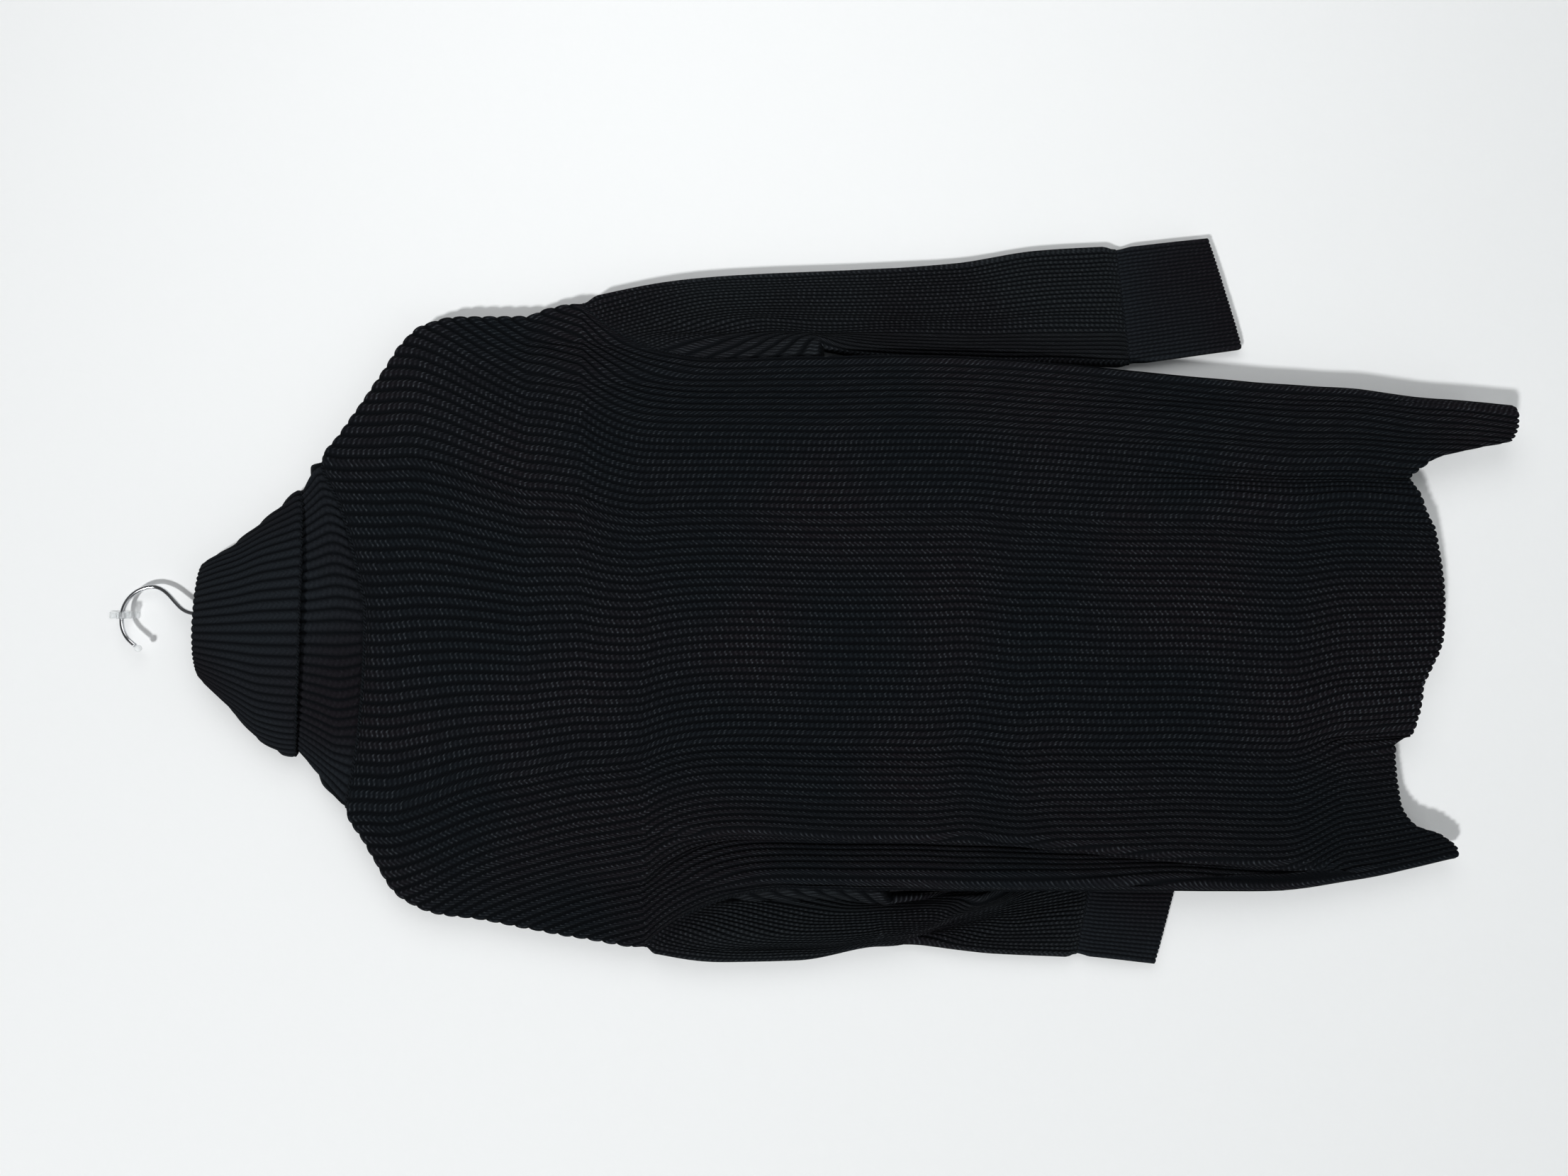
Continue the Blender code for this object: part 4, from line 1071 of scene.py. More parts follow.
@dataclass
class Collar:
    """The folded collar: a tall ribbed tube, linked to the neck and turned down once over itself."""

    name: str = "collar_knit"
    cut: tuple[float, float, float] = (0.5, 0.16, 0.07)
    ribs: int = 64
    per_rib: int = 6
    stand_rows: int = 34
    hidden_rows: int = 10
    edge_rows: int = 10
    flap_rows: int = 40
    crown_rows: int = 12
    inner_rows: int = 16
    seam_reach: float = 0.6  # half the cloth's thickness at the neck seam
    edge_drop: float = 1.4
    crown_cloth: float = 0.8
    rise: float = 1.9
    round_share: float = 0.45  # how far the ribs are spaced as on a circle, and not evenly in x
    end_power: float = 0.95
    room_power: float = 1.1  # over 1, the room side is more pointed than an ellipse
    wall_power: float = 0.35
    seed: int = 23

    def hoop_points(self, hoop: Hoop, cloth: float) -> Array:
        """Places round one level of the collar, from the middle of its room side.

        Args:
            hoop: The level.
            cloth: The thickness of the cloth between the places and the hoop's outer edges.

        Returns:
            Rows of (x, depth, z), one for each column.
        """
        share = np.arange(self.ribs * self.per_rib) / (self.ribs * self.per_rib)
        offset = np.where(share > 0.5, share - 1, share)
        bias = (math.pi / 2 - math.pi * hoop.share) / math.sin(math.pi * hoop.share)
        turn = 2 * math.pi * offset + bias * np.sin(2 * math.pi * offset)
        even = np.abs(turn) / (math.pi / 2)
        even = np.where(even > 1, 2 - even, even)
        on_circle = self.round_share * np.sin(even * math.pi / 2)
        turned = np.arcsin(np.clip(on_circle + (1 - self.round_share) * even, 0.0, 1.0))
        turn = np.sign(turn) * np.where(np.abs(turn) > math.pi / 2, math.pi - turned, turned)
        left, right = hoop.left + cloth, hoop.right - cloth
        centre, reach = (left + right) / 2, (right - left) / 2
        facing = np.cos(turn)
        x = centre + reach * np.sign(np.sin(turn)) * np.abs(np.sin(turn)) ** self.end_power
        x = x + (COLLAR_MIDDLE - centre) * np.maximum(facing, 0.0) ** 2
        to_room = (hoop.room - hoop.side) * np.abs(facing) ** self.room_power
        to_wall = (hoop.wall - hoop.side) * np.abs(facing) ** self.wall_power
        depth = hoop.side + np.where(facing > 0, to_room, to_wall)
        slant = (x - left) / (right - left)
        z = hoop.left_z + (hoop.right_z - hoop.left_z) * slant - hoop.sag * np.maximum(facing, 0.0)
        return np.stack([x, depth, z], axis=1)

    def neck_ring(self, room_edge: Array, wall_edge: Array) -> Array:
        """The ring on which the collar is linked, from the middle of the room side to the right.

        Args:
            room_edge: The neck edge of the panel that faces the room.
            wall_edge: The neck edge of the panel against the wall.

        Returns:
            Rows of (x, depth, z), one for each column.
        """
        count = self.ribs * self.per_rib
        share = COLLAR_STAND[0].share
        room_arc, wall_arc = spaced(room_edge, NECK_STEPS), spaced(wall_edge, NECK_STEPS)
        number = np.arange(NECK_STEPS + 1)
        turn = np.arange(count) / count
        offset = np.where(turn <= 0.5, turn, turn - 1)
        past = np.abs(offset) - share / 2
        part = past / (0.5 - share / 2) / 2
        on_room = read_line((0.5 + offset / share) * NECK_STEPS, number, room_arc)
        on_wall = read_line(np.where(offset > 0, 1 - part, part) * NECK_STEPS, number, wall_arc)
        return np.where((past <= 0)[:, None], on_room, on_wall)

    def keys(self, room_edge: Array, wall_edge: Array) -> Array:
        """The rows that the cloth passes through: up the outside of the stand, down under the flap,
        round its edge, up its face, over the fold and down the inside of the stand.

        Args:
            room_edge: The neck edge of the panel that faces the room.
            wall_edge: The neck edge of the panel against the wall.

        Returns:
            The key rows, as Key numbers them.
        """
        ring = self.neck_ring(room_edge, wall_edge)
        stand = np.stack([ring] + [self.hoop_points(hoop, CLOTH) for hoop in COLLAR_STAND])
        stand_normal = normals_of(stand, -1, True)
        stand_normal[0, :, 2] = np.maximum(stand_normal[0, :, 2], 0.0)
        stand_normal = unit(stand_normal)
        flap = np.stack([self.hoop_points(hoop, CLOTH) for hoop in COLLAR_FLAP])
        outside = stand + stand_normal * np.array([self.seam_reach, *[WALL] * 5])[:, None, None]
        face = flap + normals_of(flap, -1, True) * WALL
        edge = (flap[0] + face[0]) / 2 - np.array([0.0, 0.0, self.edge_drop])
        crown = self.hoop_points(COLLAR_CROWN, self.crown_cloth)
        inside = np.concatenate([stand[:0:-1], stand[:1] - stand_normal[:1] * self.seam_reach])
        return np.stack([*outside, *flap[::-1], edge, *face, crown, *inside, outside[0]])

    def row_numbers(self) -> Array:
        """Where the dense rows lie between the key rows, by the key rows' numbers."""
        parts = (
            (Key.STAND, Key.HIDDEN, self.stand_rows),
            (Key.HIDDEN, Key.EDGE, self.hidden_rows),
            (Key.EDGE, Key.FLAP, self.edge_rows),
            (Key.FLAP, Key.CROWN, self.flap_rows),
            (Key.CROWN, Key.INSIDE, self.crown_rows),
            (Key.INSIDE, Key.SEAM, self.inner_rows),
        )
        runs = [np.linspace(start, end, count, endpoint=False) for start, end, count in parts]
        return np.concatenate([*runs, [float(Key.SEAM), float(Key.END)]])

    def build(self, finish: bpy.types.Material, room_edge: Array, wall_edge: Array) -> bpy.types.Object:
        """Makes the collar as one closed cloth.

        Args:
            finish: The knitted yarn.
            room_edge: The neck edge of the panel that faces the room.
            wall_edge: The neck edge of the panel against the wall.

        Returns:
            The piece.
        """
        number = self.row_numbers()
        grid = rows_through(self.keys(room_edge, wall_edge), number)
        parts = [number < Key.HIDDEN, number < Key.EDGE + 1, number < Key.CROWN + 0.6]
        visible = np.select(parts, [1.0, 0.15, 0.75], 0.5)
        seam = ease(number / 0.25) * ease((Key.SEAM + 0.4 - number) / 0.8)
        relief = self.rise * rib_profile(self.ribs * self.per_rib, self.per_rib, 0.85, self.seed)
        slow = 1 + 0.1 * waver(grid[..., 0] * 1.5, grid[..., 2], 40.0, self.seed)
        normal = normals_of(grid, -1, True, True)
        points = grid + normal * (relief[None, :] * (visible * seam)[:, None] * slow)[..., None]
        points[-1] = points[0]
        self.flap_edge = points[np.searchsorted(number, Key.EDGE + 1.3)]
        self.base = grid[0]
        closed = close_ring(points)
        log_cut(self.name, close_ring(grid))
        dress = Dress(finish, "collar", "collar_yarn")
        return surface(self.name, closed, rib_uv(closed, self.ribs), 1, dress)


def tube_along(
    name: str, path: Array, radius: Array, sides: int, dress: Dress, loop: bool = False
) -> bpy.types.Object:
    """A round tube along a path of (x, depth, z). It narrows to a point where the radius is nought.

    Args:
        name: The piece's name.
        path: The places of its middle line.
        radius: The radius at each place, in millimetres.
        sides: The number of faces round it.
        dress: Its finish, and what it stands for.
        loop: Whether the end of the path meets its start.

    Returns:
        The piece.
    """
    if loop:
        path = np.concatenate([path, path[:1]])
        radius = np.concatenate([radius, radius[:1]])
        forward = unit(np.roll(path, -1, axis=0) - np.roll(path, 2, axis=0))
        forward[-1] = forward[0] = unit(path[1] - path[-2])
    else:
        forward = unit(np.gradient(path, axis=0))
    sideways = np.cross(forward, np.array([0.0, 1.0, 0.0]))
    weak = np.linalg.norm(sideways, axis=1) < 0.2
    sideways[weak] = np.cross(forward[weak], np.array([1.0, 0.0, 0.0]))
    sideways = unit(sideways)
    upward = np.cross(sideways, forward)
    turn = np.linspace(0, 2 * math.pi, sides + 1)
    ring = np.cos(turn)[None, :, None] * sideways[:, None]
    ring = ring + np.sin(turn)[None, :, None] * upward[:, None]
    points = path[:, None] + ring * radius[:, None, None]
    points[:, -1] = points[:, 0]
    if loop:
        points[-1] = points[0]
    counts = np.broadcast_arrays(turn[None, :] / (2 * math.pi), running(path)[:, None] / COURSE)
    made = surface(name, points, np.stack(counts, axis=2), 1, dress)
    bm = bmesh.new()
    bm.from_mesh(made.data)
    bmesh.ops.recalc_face_normals(bm, faces=bm.faces)
    bm.to_mesh(made.data)
    bm.free()
    made.data.shade_smooth()
    return made


@dataclass(frozen=True)
class LinkedSeam:
    """A seam where two knitted pieces are linked: a fine drawn-in ridge of yarn."""

    name: str
    path: Array
    radius: float = 1.0
    loop: bool = False
    stitch: float = 1.6
    sides: int = 8

    def build(self, finish: bpy.types.Material) -> bpy.types.Object:
        """Makes the ridge, each stitch of it a little swelling.

        Args:
            finish: The yarn.

        Returns:
            The piece.
        """
        count = int(running(self.path)[-1] / self.stitch)
        if self.loop:
            path = spaced(np.concatenate([self.path, self.path[:1]]), count)[:-1]
        else:
            path = spaced(self.path, count)
        swell = 1 + 0.18 * np.sin(np.arange(len(path)) * 2.1)
        radius = self.radius * swell
        if not self.loop:
            radius[0] = radius[-1] = 0.0
        return tube_along(self.name, path, radius, self.sides, Dress(finish), self.loop)


@dataclass
class WireHook:
    """The hanger's bent wire and the clear ball on its end."""

    radius: float = 1.6
    centre_x: float = -1.5
    centre_z: float = -27.0
    bend_radius: float = 22.4
    start: float = -4.0
    end: float = 138.0
    bend_depth: float = 7.0
    crown_depth: float = 9.0
    tail_depth: float = 12.6
    tail_length: float = 6.0
    tip_radius: float = 2.5
    sides: int = 20

    def middle(self) -> Array:
        """The middle of the wire, from the hanger's body to its end.

        Returns:
            Rows of (x, depth, z).
        """
        rows = [(point.x, point.depth, point.z) for point in WIRE_STEM]
        for angle in np.linspace(self.start, self.end, 41):
            spots = (self.start, 90.0, self.end)
            depth = np.interp(angle, spots, (self.bend_depth, self.crown_depth, self.tail_depth))
            x = self.centre_x + self.bend_radius * math.cos(math.radians(angle))
            z = self.centre_z + self.bend_radius * math.sin(math.radians(angle))
            rows.append((x, depth, z))
        end = math.radians(self.end)
        x, depth, z = rows[-1]
        rows.append((x - self.tail_length * math.sin(end), depth, z + self.tail_length * math.cos(end)))
        return np.array(rows)

    def smooth_middle(self) -> Array:
        """The same line with its bends eased.

        Returns:
            Rows of (x, depth, z), at even lengths.
        """
        line = self.middle()
        for _ in range(2):
            cut = np.empty((2 * (len(line) - 1), 3))
            cut[0::2] = 0.75 * line[:-1] + 0.25 * line[1:]
            cut[1::2] = 0.25 * line[:-1] + 0.75 * line[1:]
            line = np.concatenate([line[:1], cut, line[-1:]])
        return spaced(line, 150)

    def build(self, chrome: bpy.types.Material, clear: bpy.types.Material) -> list[bpy.types.Object]:
        """Makes the wire and its ball.

        Args:
            chrome: The wire's finish.
            clear: The ball's finish.

        Returns:
            The wire and the ball.
        """
        path = self.smooth_middle()
        rounded = np.concatenate([path[:1], path[:1], path, path[-1:], path[-1:]])
        start, end = unit(path[1] - path[0]), unit(path[-1] - path[-2])
        rounded[0] -= start * 0.5
        rounded[1] -= start * 0.3
        rounded[-1] += end * 0.3
        rounded[-2] += end * 0.15
        radius = np.full(len(rounded), self.radius)
        radius[[0, -1]] = 0.0
        radius[[1, -2]] *= 0.8
        dress = Dress(chrome, "wire_hook", "chrome")
        wire = tube_along("chrome_wire", rounded, radius, self.sides, dress)
        centre = path[-1] + end * (self.tip_radius + 0.3)
        bm = bmesh.new()
        bmesh.ops.create_uvsphere(bm, u_segments=32, v_segments=20, radius=self.tip_radius * MM)
        bmesh.ops.translate(bm, verts=bm.verts, vec=Vector((centre[0], -centre[1], centre[2])) * MM)
        dress = Dress(clear, "hook_tip", "clear_tip")
        return [wire, finished("clear_ball", bm, bpy.data.meshes.new("clear_ball"), dress)]


@dataclass
class WallHook:
    """The small clear hook on the wall: a plate, an arm and a lip, all with rounded edges."""

    width: float = 5.0
    plate_top: float = 9.0
    plate_foot: float = -13.0
    plate_thickness: float = 1.8
    arm_top: float = -6.6
    arm_thickness: float = 3.0
    arm_reach: float = 15.0
    lip_rise: float = 3.2
    lip_thickness: float = 2.2
    rounding: float = 0.7

    def outline(self) -> list[tuple[float, float]]:
        """The hook from the side.

        Returns:
            Its corners, as (depth, z).
        """
        lip = self.arm_reach - self.lip_thickness
        return [
            (0.0, self.plate_foot),
            (0.0, self.plate_top),
            (self.plate_thickness, self.plate_top),
            (self.plate_thickness, self.arm_top),
            (lip, self.arm_top),
            (lip, self.arm_top + self.lip_rise),
            (self.arm_reach, self.arm_top + self.lip_rise),
            (self.arm_reach, self.arm_top - self.arm_thickness),
            (self.plate_thickness, self.arm_top - self.arm_thickness),
            (self.plate_thickness, self.plate_foot),
        ]

    def build(self, clear: bpy.types.Material) -> bpy.types.Object:
        """Makes the hook.

        Args:
            clear: Its finish.

        Returns:
            The piece.
        """
        bm = bmesh.new()
        left = -self.width / 2 * MM
        corners = [bm.verts.new((left, -depth * MM, z * MM)) for depth, z in self.outline()]
        side = bm.faces.new(corners)
        made = bmesh.ops.extrude_face_region(bm, geom=[side])
        moved = [part for part in made["geom"] if isinstance(part, bmesh.types.BMVert)]
        bmesh.ops.translate(bm, verts=moved, vec=(self.width * MM, 0.0, 0.0))
        bmesh.ops.recalc_face_normals(bm, faces=bm.faces)
        free = [edge for edge in bm.edges if any(vert.co.y < -1e-6 for vert in edge.verts)]
        size = self.rounding * MM
        bmesh.ops.bevel(
            bm, geom=free, offset=size, segments=4, profile=0.5, affect="EDGES", material=-1
        )
        dress = Dress(clear, "wall_hook", "clear_wall_hook")
        hook = finished("clear_hook", bm, bpy.data.meshes.new("clear_hook"), dress)
        hook.data.set_sharp_from_angle(angle=math.radians(50))
        return hook


Value = "Tone | float"
Colour = tuple[float, float, float, float]


class Tone:
    """A socket of a finish's nodes, with the sums that its pattern is written in."""

    def __init__(self, recipe: "Recipe", socket: bpy.types.NodeSocket) -> None:
        """Wraps a socket of that recipe."""
        self.recipe = recipe
        self.socket = socket

    def maths(self, operation: str, *values: Value) -> "Tone":
        """A Math node on these values."""
        return self.recipe.node("ShaderNodeMath", {"operation": operation}, dict(enumerate(values)))

    def __add__(self, other: Value) -> "Tone":
        """The sum."""
        return self.maths("ADD", self, other)

    def __radd__(self, other: float) -> "Tone":
        """The sum, with the number first."""
        return self.maths("ADD", other, self)

    def __sub__(self, other: Value) -> "Tone":
        """The difference."""
        return self.maths("SUBTRACT", self, other)

    def __rsub__(self, other: float) -> "Tone":
        """The difference, with the number first."""
        return self.maths("SUBTRACT", other, self)

    def __mul__(self, other: Value) -> "Tone":
        """The product."""
        return self.maths("MULTIPLY", self, other)

    def __rmul__(self, other: float) -> "Tone":
        """The product, with the number first."""
        return self.maths("MULTIPLY", other, self)

    def __pow__(self, other: Value) -> "Tone":
        """The power."""
        return self.maths("POWER", self, other)

    def __abs__(self) -> "Tone":
        """The size without its sign."""
        return self.maths("ABSOLUTE", self)

    def sine(self) -> "Tone":
        """The sine of it, in radians."""
        return self.maths("SINE", self)

    def fraction(self) -> "Tone":
        """What is left over the whole number below."""
        return self.maths("FRACT", self)

    def whole(self) -> "Tone":
        """The whole number below."""
        return self.maths("FLOOR", self)

    def between(self, low: float, high: float) -> "Tone":
        """0 at low and 1 at high, with flat ends."""
        settings = {"interpolation_type": "SMOOTHSTEP"}
        inputs = {0: self, 1: low, 2: high, 3: 0.0, 4: 1.0}
        return self.recipe.node("ShaderNodeMapRange", settings, inputs)


class Recipe:
    """The nodes of one finish, which all feed one Principled shader."""

    def __init__(self, name: str) -> None:
        """Starts the finish."""
        self.material = bpy.data.materials.new(name)
        self.material.use_nodes = True
        self.tree = self.material.node_tree
        self.shader = self.tree.nodes["Principled BSDF"]

    def node(self, kind: str, settings: dict, inputs: dict, output: int | str = 0) -> Tone:
        """Adds a node.

        Args:
            kind: The node's type.
            settings: Its properties.
            inputs: Values or links for its sockets, by name or number.
            output: The socket to hand back.

        Returns:
            That output socket.
        """
        made = self.tree.nodes.new(kind)
        for name, value in settings.items():
            setattr(made, name, value)
        for name, value in inputs.items():
            self.feed(made.inputs[name], value)
        return Tone(self, made.outputs[output])

    def feed(self, socket: bpy.types.NodeSocket, value: Value) -> None:
        """Links or sets a socket.

        Args:
            socket: The socket.
            value: The tone that feeds it, or its own value.
        """
        if isinstance(value, Tone):
            self.tree.links.new(value.socket, socket)
        else:
            socket.default_value = value

    def set(self, **values: Value) -> None:
        """Sets or links the shader's own sockets, named with underscores for spaces."""
        for name, value in values.items():
            self.feed(self.shader.inputs[name.replace("_", " ")], value)

    def blend(self, share: Value, low: "Tone | Colour", high: "Tone | Colour") -> Tone:
        """A mix of two colours."""
        return self.node("ShaderNodeMix", {"data_type": "RGBA"}, {"Factor": share, 6: low, 7: high}, 2)

    def place(self) -> Tone:
        """Object coordinates."""
        return self.node("ShaderNodeTexCoord", {}, {}, "Object")

    def noise(self, at: Tone, scale: float, detail: float = 2.0) -> Tone:
        """Soft noise, about 0.5."""
        inputs = {"Vector": at, "Scale": scale, "Detail": detail}
        return self.node("ShaderNodeTexNoise", {}, inputs, "Fac")

    def chance(self, x: Value, y: Value) -> Tone:
        """A random value for each whole (x, y)."""
        cell = self.node("ShaderNodeCombineXYZ", {}, {0: x, 1: y, 2: 0.0})
        flat = {"noise_dimensions": "2D"}
        return self.node("ShaderNodeTexWhiteNoise", flat, {"Vector": cell}, "Value")

    def counts(self) -> tuple[Tone, Tone]:
        """The piece's own pattern: ribs counted across it and stitches counted along it."""
        pattern = self.node("ShaderNodeUVMap", {"uv_map": KNIT_MAP}, {})
        across = self.node("ShaderNodeSeparateXYZ", {}, {0: pattern})
        return across, Tone(self, across.socket.node.outputs[1])

    def wool(self, colour: Tone, roughness: Tone, height: Tone, distance: float) -> bpy.types.Material:
        """Dresses the shader as matt brushed wool.

        Args:
            colour: The yarn's colour.
            roughness: Its roughness.
            height: The pattern's height, 0 to about 1.
            distance: The height of 1, in metres.

        Returns:
            The finish.
        """
        self.set(
            Base_Color=colour,
            Roughness=roughness,
            Sheen_Weight=0.008,
            Sheen_Roughness=0.4,
            Specular_IOR_Level=0.03,
            Normal=self.relief(height, distance),
        )
        return self.material

    def relief(self, height: Tone, distance: float, strength: float = 1.0) -> Tone:
        """A normal from a height."""
        inputs = {"Height": height, "Distance": distance, "Strength": strength}
        return self.node("ShaderNodeBump", {}, inputs)


@dataclass(frozen=True)
class RibKnit:
    """Near-black wool knitted in a deep rib: one small curled stitch after another down every rib, its
    colour darkened by painted shade in the grooves and lit by painted highlights on the loops.
    """

    name: str
    crest: Colour = (0.0062, 0.0084, 0.0108, 1.0)
    warm: Colour = (0.0098, 0.0082, 0.0104, 1.0)
    # painted shade: the colour of the grooves and of the gaps between stitches
    groove_shade: Colour = (0.0030, 0.0038, 0.0048, 1.0)
    # painted highlight: the glints on the stitch loops
    glint_highlight: Colour = (0.080, 0.094, 0.108, 1.0)
    stitch_relief: float = 1.2
    fuzz: float = 1.0
    mark: float = 1.0
    step: float = 0.55

    def make(self) -> bpy.types.Material:
        """Builds the finish on the piece's own UV: ribs across, stitches along.

        Returns:
            The finish.
        """
        recipe = Recipe(self.name)
        across, along = recipe.counts()
        place = recipe.place()
        # Each rib's stitches start at their own height and curl up beside its crest.
        centred = across.fraction() - 0.5
        side = abs(centred)
        course = along + recipe.chance(across.whole(), 0.0) * 0.4 + (centred * 9.0).sine() * 0.16
        near = 1.0 - abs(course.fraction() - 0.5) * 2.0
        inside = 1.0 - side.between(0.22, 0.40)
        lobes = 0.45 + side.between(0.03, 0.16) * 0.55
        chance = recipe.chance(across.whole(), course.whole())
        # Loose hairs and tufts blur the stitches.
        hair = recipe.noise(place, 1500.0, 3.0)
        tuft = recipe.noise(place, 450.0, 2.0)
        loop = near.between(0.38, 0.90) * inside * lobes * (0.3 + chance * 0.6)
        crest = 1.0 - (side * 2.0) ** 2.0
        plump = crest * (1.0 - self.step + near.between(0.0, 0.6) * self.step)
        height = plump * 0.5 + loop * (0.5 * self.mark)
        height = height + hair * (0.14 * self.fuzz) + tuft * (0.25 * self.fuzz)
        # The yarn warms and cools slowly over the cloth; painted shade darkens the grooves and the gaps
        # between stitches, and painted highlights light up the loops.
        patch = recipe.noise(place, 9.0, 1.0)
        yarn = recipe.blend(patch.between(0.35, 0.7), self.crest, self.warm)
        # painted shade: where the cloth sinks, the yarn takes the darker groove colour
        ground = recipe.blend((plump * (0.3 + hair)).between(0.0, 1.0), self.groove_shade, yarn)
        # painted highlight: the loops are lightened toward the glint colour
        painted_glint = loop * (0.2 + hair) * (0.5 + patch) * (0.62 * self.mark)
        colour = recipe.blend(painted_glint.between(0.0, 0.95), ground, self.glint_highlight)
        return recipe.wool(colour, 0.84 + hair * 0.12, height, self.stitch_relief * MM)


@dataclass(frozen=True)
class SeamYarn:
    """The same wool drawn into a seam or a bound-off edge."""

    name: str
    colour: Colour = (0.0090, 0.0110, 0.0135, 1.0)
    shade: Colour = (0.0030, 0.0037, 0.0045, 1.0)

    def make(self) -> bpy.types.Material:
        """Builds the finish: one slanting stitch after another along the seam.

        Returns:
            The finish.
        """
        recipe = Recipe(self.name)
        across, along = recipe.counts()
        twist = ((along * 1.4 + across * 2.0).fraction() * math.pi).sine()
        hair = recipe.noise(recipe.place(), 1300.0, 3.0)
        # painted shade: the seam darkens to its shade colour between the slanting stitches
        colour = recipe.blend(twist * (0.6 + hair * 0.6), self.shade, self.colour)
        return recipe.wool(colour, 0.82 + hair * 0.12, twist + hair * 0.25, 0.6 * MM)


@dataclass(frozen=True)
class ClearPlastic:
    """Clear moulded plastic with a faint bloom and fine scuffs."""

    name: str
    tint: Colour = (0.93, 0.95, 0.955, 1.0)
    frost: float = 0.05
    solid: float = 1.0

    def make(self) -> bpy.types.Material:
        """Builds the finish.

        Returns:
            The finish.
        """
        recipe = Recipe(self.name)
        place = recipe.place()
        bloom = recipe.noise(place, 160.0, 3.0)
        scuff = recipe.noise(place, 900.0, 4.0)
        shade = tuple(part * 0.94 for part in self.tint[:3]) + (1.0,)
        recipe.set(
            Base_Color=recipe.blend(bloom, shade, self.tint),
            Roughness=self.frost + scuff * 0.08,
            Transmission_Weight=0.92,
            IOR=1.49,
            Alpha=self.solid,
            Normal=recipe.relief(scuff, 0.03 * MM),
        )
        return recipe.material


@dataclass(frozen=True)
class Chrome:
    """Bright plated wire, drawn and handled."""

    name: str
    bright: Colour = (0.70, 0.71, 0.73, 1.0)
    dull: Colour = (0.50, 0.51, 0.53, 1.0)

    def make(self) -> bpy.types.Material:
        """Builds the finish.

        Returns:
            The finish.
        """
        recipe = Recipe(self.name)
        place = recipe.place()
        smear = recipe.noise(place, 120.0, 3.0)
        grain = recipe.noise(place, 1200.0, 2.0)
        recipe.set(
            Base_Color=recipe.blend(smear, self.dull, self.bright),
            Metallic=1.0,
            Roughness=0.10 + smear * 0.14 + grain * 0.05,
            Normal=recipe.relief(grain, 0.02 * MM),
        )
        return recipe.material


@dataclass(frozen=True)
class Paint:
    """Matt paint on the wall and the floor."""

    name: str
    colour: Colour
    one_sided: bool = False

    def make(self) -> bpy.types.Material:
        """Builds the finish. A one-sided wall lets the back of the sweater be seen.

        Returns:
            The finish.
        """
        recipe = Recipe(self.name)
        place = recipe.place()
        cloud = recipe.noise(place, 2.2, 2.0)
        grain = recipe.noise(place, 380.0, 3.0)
        darker = tuple(part * 0.985 for part in self.colour[:3]) + (1.0,)
        recipe.set(
            Base_Color=recipe.blend(cloud, darker, self.colour),
            Roughness=0.9,
            Specular_IOR_Level=0.1,
            Normal=recipe.relief(grain, 0.08 * MM),
        )
        if self.one_sided:
            behind = recipe.node("ShaderNodeNewGeometry", {}, {}, "Backfacing")
            clear = recipe.node("ShaderNodeBsdfTransparent", {}, {})
            shown = Tone(recipe, recipe.shader.outputs["BSDF"])
            mixed = recipe.node("ShaderNodeMixShader", {}, {0: behind, 1: shown, 2: clear})
            recipe.feed(recipe.tree.nodes["Material Output"].inputs["Surface"], mixed)
        return recipe.material


@dataclass(frozen=True)
class Lamp:
    """A round soft light that faces the sweater."""

    name: str
    place: tuple[float, float, float]
    size: float
    power: float
    aim: tuple[float, float, float] = (0.1, 0.0, -0.47)

    def build(self) -> None:
        """Makes the light."""
        data = bpy.data.lights.new(self.name, "AREA")
        data.energy = self.power
        data.shape = "DISK"
        data.size = self.size
        lamp = bpy.data.objects.new(self.name, data)
        lamp.location = self.place
        heading = Vector(self.aim) - Vector(self.place)
        lamp.rotation_mode = "QUATERNION"
        lamp.rotation_quaternion = heading.to_track_quat("-Z", "Y")
        lamp.visible_camera = False
        bpy.context.scene.collection.objects.link(lamp)


